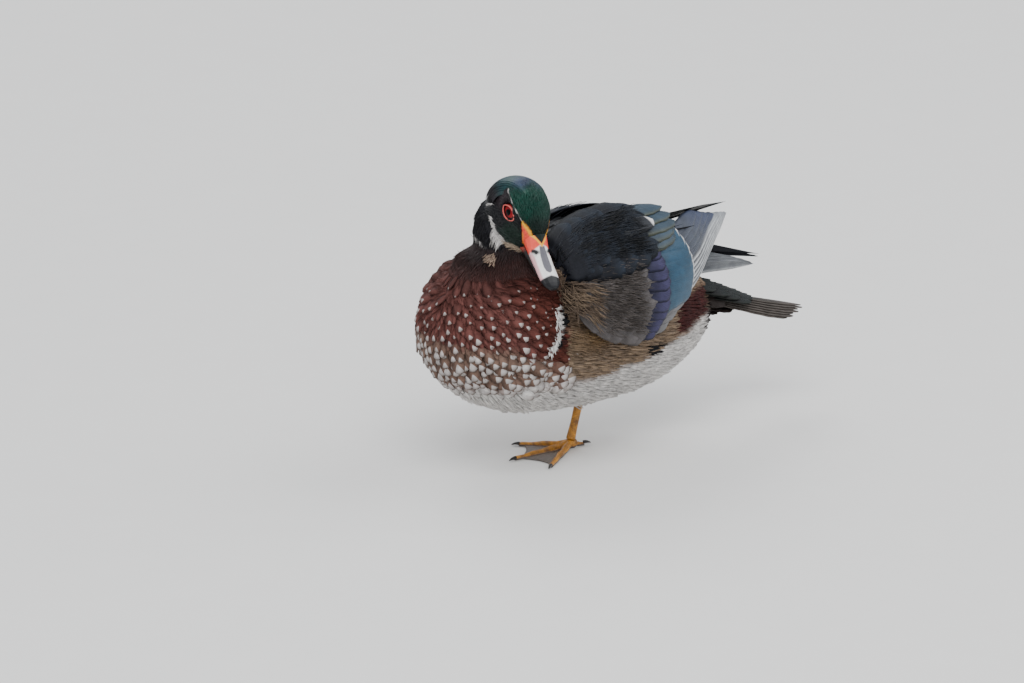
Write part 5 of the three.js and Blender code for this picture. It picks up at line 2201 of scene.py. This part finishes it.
@dataclass
class Eyes:
    """Both eyes with their red rings."""

    pose: HeadPose
    centre: tuple = (2.2, 7.5, 0.5)
    radius: float = 9.0
    edge: float = 45.0
    squash: float = 0.74
    ring_middle: tuple = (2.2, 16.1, 0.5)
    ring_half: tuple = (6.1, 4.0)
    ring_tube: float = 0.55

    def build(self) -> list[bpy.types.Object]:
        """Makes the eyes and the rings.

        Returns:
            The pieces that were made.
        """
        glass = SoftFinish("eye_gloss", 0.2, 300.0, 0.0, variation=0.05, specular=0.10).material()
        lid = SoftFinish("eye_ring_skin", 0.5, 1500.0, 0.2, variation=0.15, specular=0.25).material()
        pieces = []
        for side in Side:
            ball = self._ball(side)
            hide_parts(f"eye_{side.word}")
            ball.data.materials.append(glass)
            ring = self._ring(side)
            ring.data.materials.append(lid)
            pieces += [ball, ring]
        return pieces

    def _ball(self, side: Side) -> bpy.types.Object:
        """An eyeball with its pupil and iris.

        Args:
            side: Which side it is on.

        Returns:
            The piece.
        """
        rings, back, around = 40, 6, 48
        edge = math.radians(self.edge)
        polar = np.concatenate([np.linspace(0.02, edge, rings), np.full(back, edge)])
        shrink = np.concatenate([np.ones(rings), np.linspace(0.8, 0.02, back)])
        deep = np.concatenate([np.zeros(rings), np.linspace(0.6, 1.6, back)])
        turn = np.arange(around) * 2 * math.pi / around
        flat = (np.sin(polar) * self.radius * shrink)[:, None]
        out = np.broadcast_to((np.cos(polar) * self.radius - deep)[:, None], (len(polar), around))
        own = np.stack([flat * np.cos(turn), side.value * out, flat * np.sin(turn) * self.squash], axis=-1)
        points = self.pose.out(own + np.array(self.centre) * np.array([1, side.value, 1])).reshape(-1, 3)
        far = np.hypot(own[..., 0] + 0.3, own[..., 2] - 0.1).ravel()
        tone = plain(IRIS, len(points))
        tone = blend(tone, IRIS_EDGE, smooth(far, 3.0, 4.6))
        tone = blend(tone, PUPIL, 1 - smooth(far, 2.0, 2.45))
        return self._closed(f"eyeball_{side.word}", points, rings + back, around, tone, wrap=False)

    def _ring(self, side: Side) -> bpy.types.Object:
        """The bare red ring round an eye, which narrows to its corners.

        Args:
            side: Which side it is on.

        Returns:
            The piece.
        """
        around, tube = 56, 10
        turn, round_tube = np.meshgrid(
            np.arange(around) * 2 * math.pi / around, np.arange(tube) * 2 * math.pi / tube, indexing="ij"
        )
        corner = np.abs(np.cos(turn)) ** 4
        thick = self.ring_tube * (1 - 0.35 * corner)
        ahead = self.ring_half[0] * np.cos(turn)
        up = self.ring_half[1] * np.sin(turn) * np.abs(np.sin(turn)) ** 0.45
        outward = np.stack([np.cos(turn) / self.ring_half[0], np.sin(turn) / self.ring_half[1]], axis=-1)
        outward = unit(outward)
        shift = thick * np.cos(round_tube)
        out = self.ring_middle[1] - 0.06 * ahead - 0.002 * ahead**2 + thick * np.sin(round_tube)
        ahead = self.ring_middle[0] + ahead + outward[..., 0] * shift
        up = self.ring_middle[2] + up + outward[..., 1] * shift
        own = np.stack([ahead, side.value * out, up], axis=-1)
        points = self.pose.out(own).reshape(-1, 3)
        tone = plain(LID, len(points))
        tone = blend(tone, LID_EDGE, smooth(-np.cos(round_tube).ravel(), 0.3, 1.0) * 0.6)
        return self._closed(f"eye_ring_{side.word}", points, around, tube, tone, wrap=True)

    def _closed(
        self, name: str, points: Array, rows: int, around: int, tone: Array, wrap: bool
    ) -> bpy.types.Object:
        """A closed mesh from a grid of points that goes round in one direction or in both.

        Args:
            name: The object's name.
            points: The grid's points, row after row.
            rows: How many rows it has.
            around: How many points a row has.
            tone: A colour for each point.
            wrap: Whether the last row joins the first.

        Returns:
            The object.
        """
        faces: list[tuple[int, ...]] = []
        for i in range(rows if wrap else rows - 1):
            for j in range(around):
                k, following = (i + 1) % rows, (j + 1) % around
                faces.append((i * around + j, i * around + following, k * around + following, k * around + j))
        if not wrap:
            faces += [tuple(range(around - 1, -1, -1)), tuple(range((rows - 1) * around, rows * around))]
        made = mesh_object(name, points, faces)
        tint(made, tone)
        self._face_out(made.data)
        return made

    @staticmethod
    def _face_out(mesh: bpy.types.Mesh) -> None:
        """Turns a closed mesh's faces outwards.

        Args:
            mesh: The mesh.
        """
        shape = bmesh.new()
        shape.from_mesh(mesh)
        bmesh.ops.recalc_face_normals(shape, faces=shape.faces)
        shape.to_mesh(mesh)
        shape.free()


# Legs


@dataclass
class Legs:
    """Scaly shanks and webbed feet, and their claws."""

    def build(self, frame: dict) -> list[bpy.types.Object]:
        """Makes both legs.


        Returns:
            The pieces that were made.
        """
        skin = SoftFinish("leg_scales", 0.5, 700.0, 0.5, scales=900.0, variation=0.25).material()
        horn = SoftFinish("claw_horn", 0.3, 900.0, 0.1, coat=0.2).material()
        pieces = []
        for side in Side:
            for part in ("shank", "foot"):
                node = f"{part}_{side.word}"
                made = remade(f"{node}_skin", [frame["nodes"][node]], 0.00045, 3)
                tint(made, self._tone(body_points(made.data), part, side))
                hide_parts(node)
                made.data.materials.append(skin)
                pieces.append(made)
            for toe in ("inner", "middle", "outer", "hind"):
                node = f"foot_{side.word}_claw_{toe}"
                made = remade(f"claw_{side.word}_{toe}", [frame["nodes"][node]], 0.0002, 2)
                tint(made, plain(CLAW, len(made.data.vertices)))
                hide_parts(node)
                made.data.materials.append(horn)
                pieces.append(made)
        return pieces

    def _tone(self, points: Array, part: str, side: Side) -> Array:
        """Yellow-orange skin, with darker joints and grey webs.

        Args:
            points: Points in body millimetres.
            part: Whether it is the shank or the foot.
            side: Which side it is on.

        Returns:
            A colour for each point.
        """
        tone = plain(LEG, len(points))
        tone = blend(tone, LEG_DARK, 0.5 + 0.5 * ripple(points, 2.5))
        if part == "foot" and side is Side.LEFT:
            web = 1 - smooth(points[:, 2], 1.25, 1.9)
            tone = blend(tone, WEB, web)
        return tone


# The stage


@dataclass(frozen=True)
class Studio:
    """A pale floor, soft light, and a camera at the photograph's angle.

    The camera is given by its angles in degrees, its distance in millimetres, how many millimetres a pixel
    of the photograph covers, and the pixel where the middle of the body stands on the floor.
    """

    azimuth: float = -38.0
    elevation: float = 17.0
    distance: float = 8000.0
    scale: float = 0.66
    zero: tuple = (560.0, 453.0)
    picture: tuple = (1024, 683)
    sensor: float = 36.0
    floor_half: float = 3000.0
    floor_colour: Colour = (0.78, 0.77, 0.75)
    sky: tuple = (0.82, 0.86, 0.92, 1)
    sky_strength: float = 0.75
    aim: tuple = (0, 0, 0.1)
    # Name, place and size in metres, power in watts
    lights: tuple = (
        ("key", (-1.2, -1.6, 2.4), 2.2, 86.0), ("fill", (1.8, -0.6, 1.6), 2.0, 27.0),
        ("back", (0.6, 2.0, 2.2), 1.6, 36.0),
    )

    def build(self) -> list[bpy.types.Object]:
        """Makes the floor, the lights and the camera.

        Returns:
            The floor.
        """
        corners = np.array([(-1, -1, 0), (1, -1, 0), (1, 1, 0), (-1, 1, 0)]) * self.floor_half
        floor = mesh_object("floor", corners, [(0, 1, 2, 3)])
        floor.data.materials.append(PlainFinish("floor_paint", self.floor_colour, 0.7).material())
        for light in self.lights:
            self._light(*light)
        world = bpy.data.worlds.new("studio")
        world.use_nodes = True
        world.node_tree.nodes["Background"].inputs[0].default_value = self.sky
        world.node_tree.nodes["Background"].inputs[1].default_value = self.sky_strength
        bpy.context.scene.world = world
        self._camera()
        return [floor]

    def _light(self, name: str, place: tuple, size: float, power: float) -> None:
        """A square soft light that looks at the duck.

        Args:
            name: Its name.
            place: Where it stands, in metres.
            size: Its width in metres.
            power: Its power in watts.
        """
        data = bpy.data.lights.new(name, "AREA")
        data.size = size
        data.energy = power
        made = bpy.data.objects.new(name, data)
        made.location = place
        made.rotation_euler = (Vector(self.aim) - Vector(place)).to_track_quat("-Z", "Y").to_euler()
        bpy.context.scene.collection.objects.link(made)

    def _camera(self) -> None:
        """A long lens, aimed so that the duck has the photograph's place and size."""
        turn, rise = math.radians(self.azimuth), math.radians(self.elevation)
        right = np.array([math.cos(turn), math.sin(turn), 0])
        back = np.array([math.sin(turn) * math.cos(rise), -math.cos(turn) * math.cos(rise), math.sin(rise)])
        up = np.cross(back, right)
        across = (self.picture[0] / 2 - self.zero[0]) * self.scale
        above = (self.zero[1] - self.picture[1] / 2) * self.scale
        place = (right * across + up * above + back * self.distance - BALL_OF_FOOT) / PER_METRE
        data = bpy.data.cameras.new("camera")
        data.sensor_width = self.sensor
        data.lens = self.sensor * self.distance / (self.picture[0] * self.scale)
        data.clip_end = 100.0
        made = bpy.data.objects.new("camera", data)
        columns = np.eye(4)
        columns[:3, 0], columns[:3, 1], columns[:3, 2], columns[:3, 3] = right, up, back, place
        made.matrix_world = Matrix(columns.tolist())
        bpy.context.scene.collection.objects.link(made)
        bpy.context.scene.camera = made


def main() -> None:
    """Builds the duck and its stage, and logs how many triangles each piece has."""
    logging.basicConfig(level=logging.INFO, format="%(name)s %(message)s")
    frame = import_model()
    pose = HeadPose()
    markings = Markings(pose)
    feathering = Feathering()
    groups = {
        "body": BodyPlumage(pose, markings, feathering).build(frame),
        "left wing": Wing(Side.LEFT, feathering).build(),
        "right wing": Wing(Side.RIGHT, feathering).build(),
        "tail": Tail().build(),
        "crest": Crest(pose, markings).build(),
        "bill": Bill(pose, markings).build(frame),
        "eyes": Eyes(pose).build(),
        "legs": Legs().build(frame),
    }
    feathering.clear()
    for name, pieces in groups.items():
        for piece in pieces:
            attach(piece, "root")
            faces = sum(len(polygon.vertices) - 2 for polygon in piece.data.polygons)
            log.info("%s: %s, %d triangles", name, piece.name, faces)
    Studio().build()


if __name__ == "__main__":
    main()
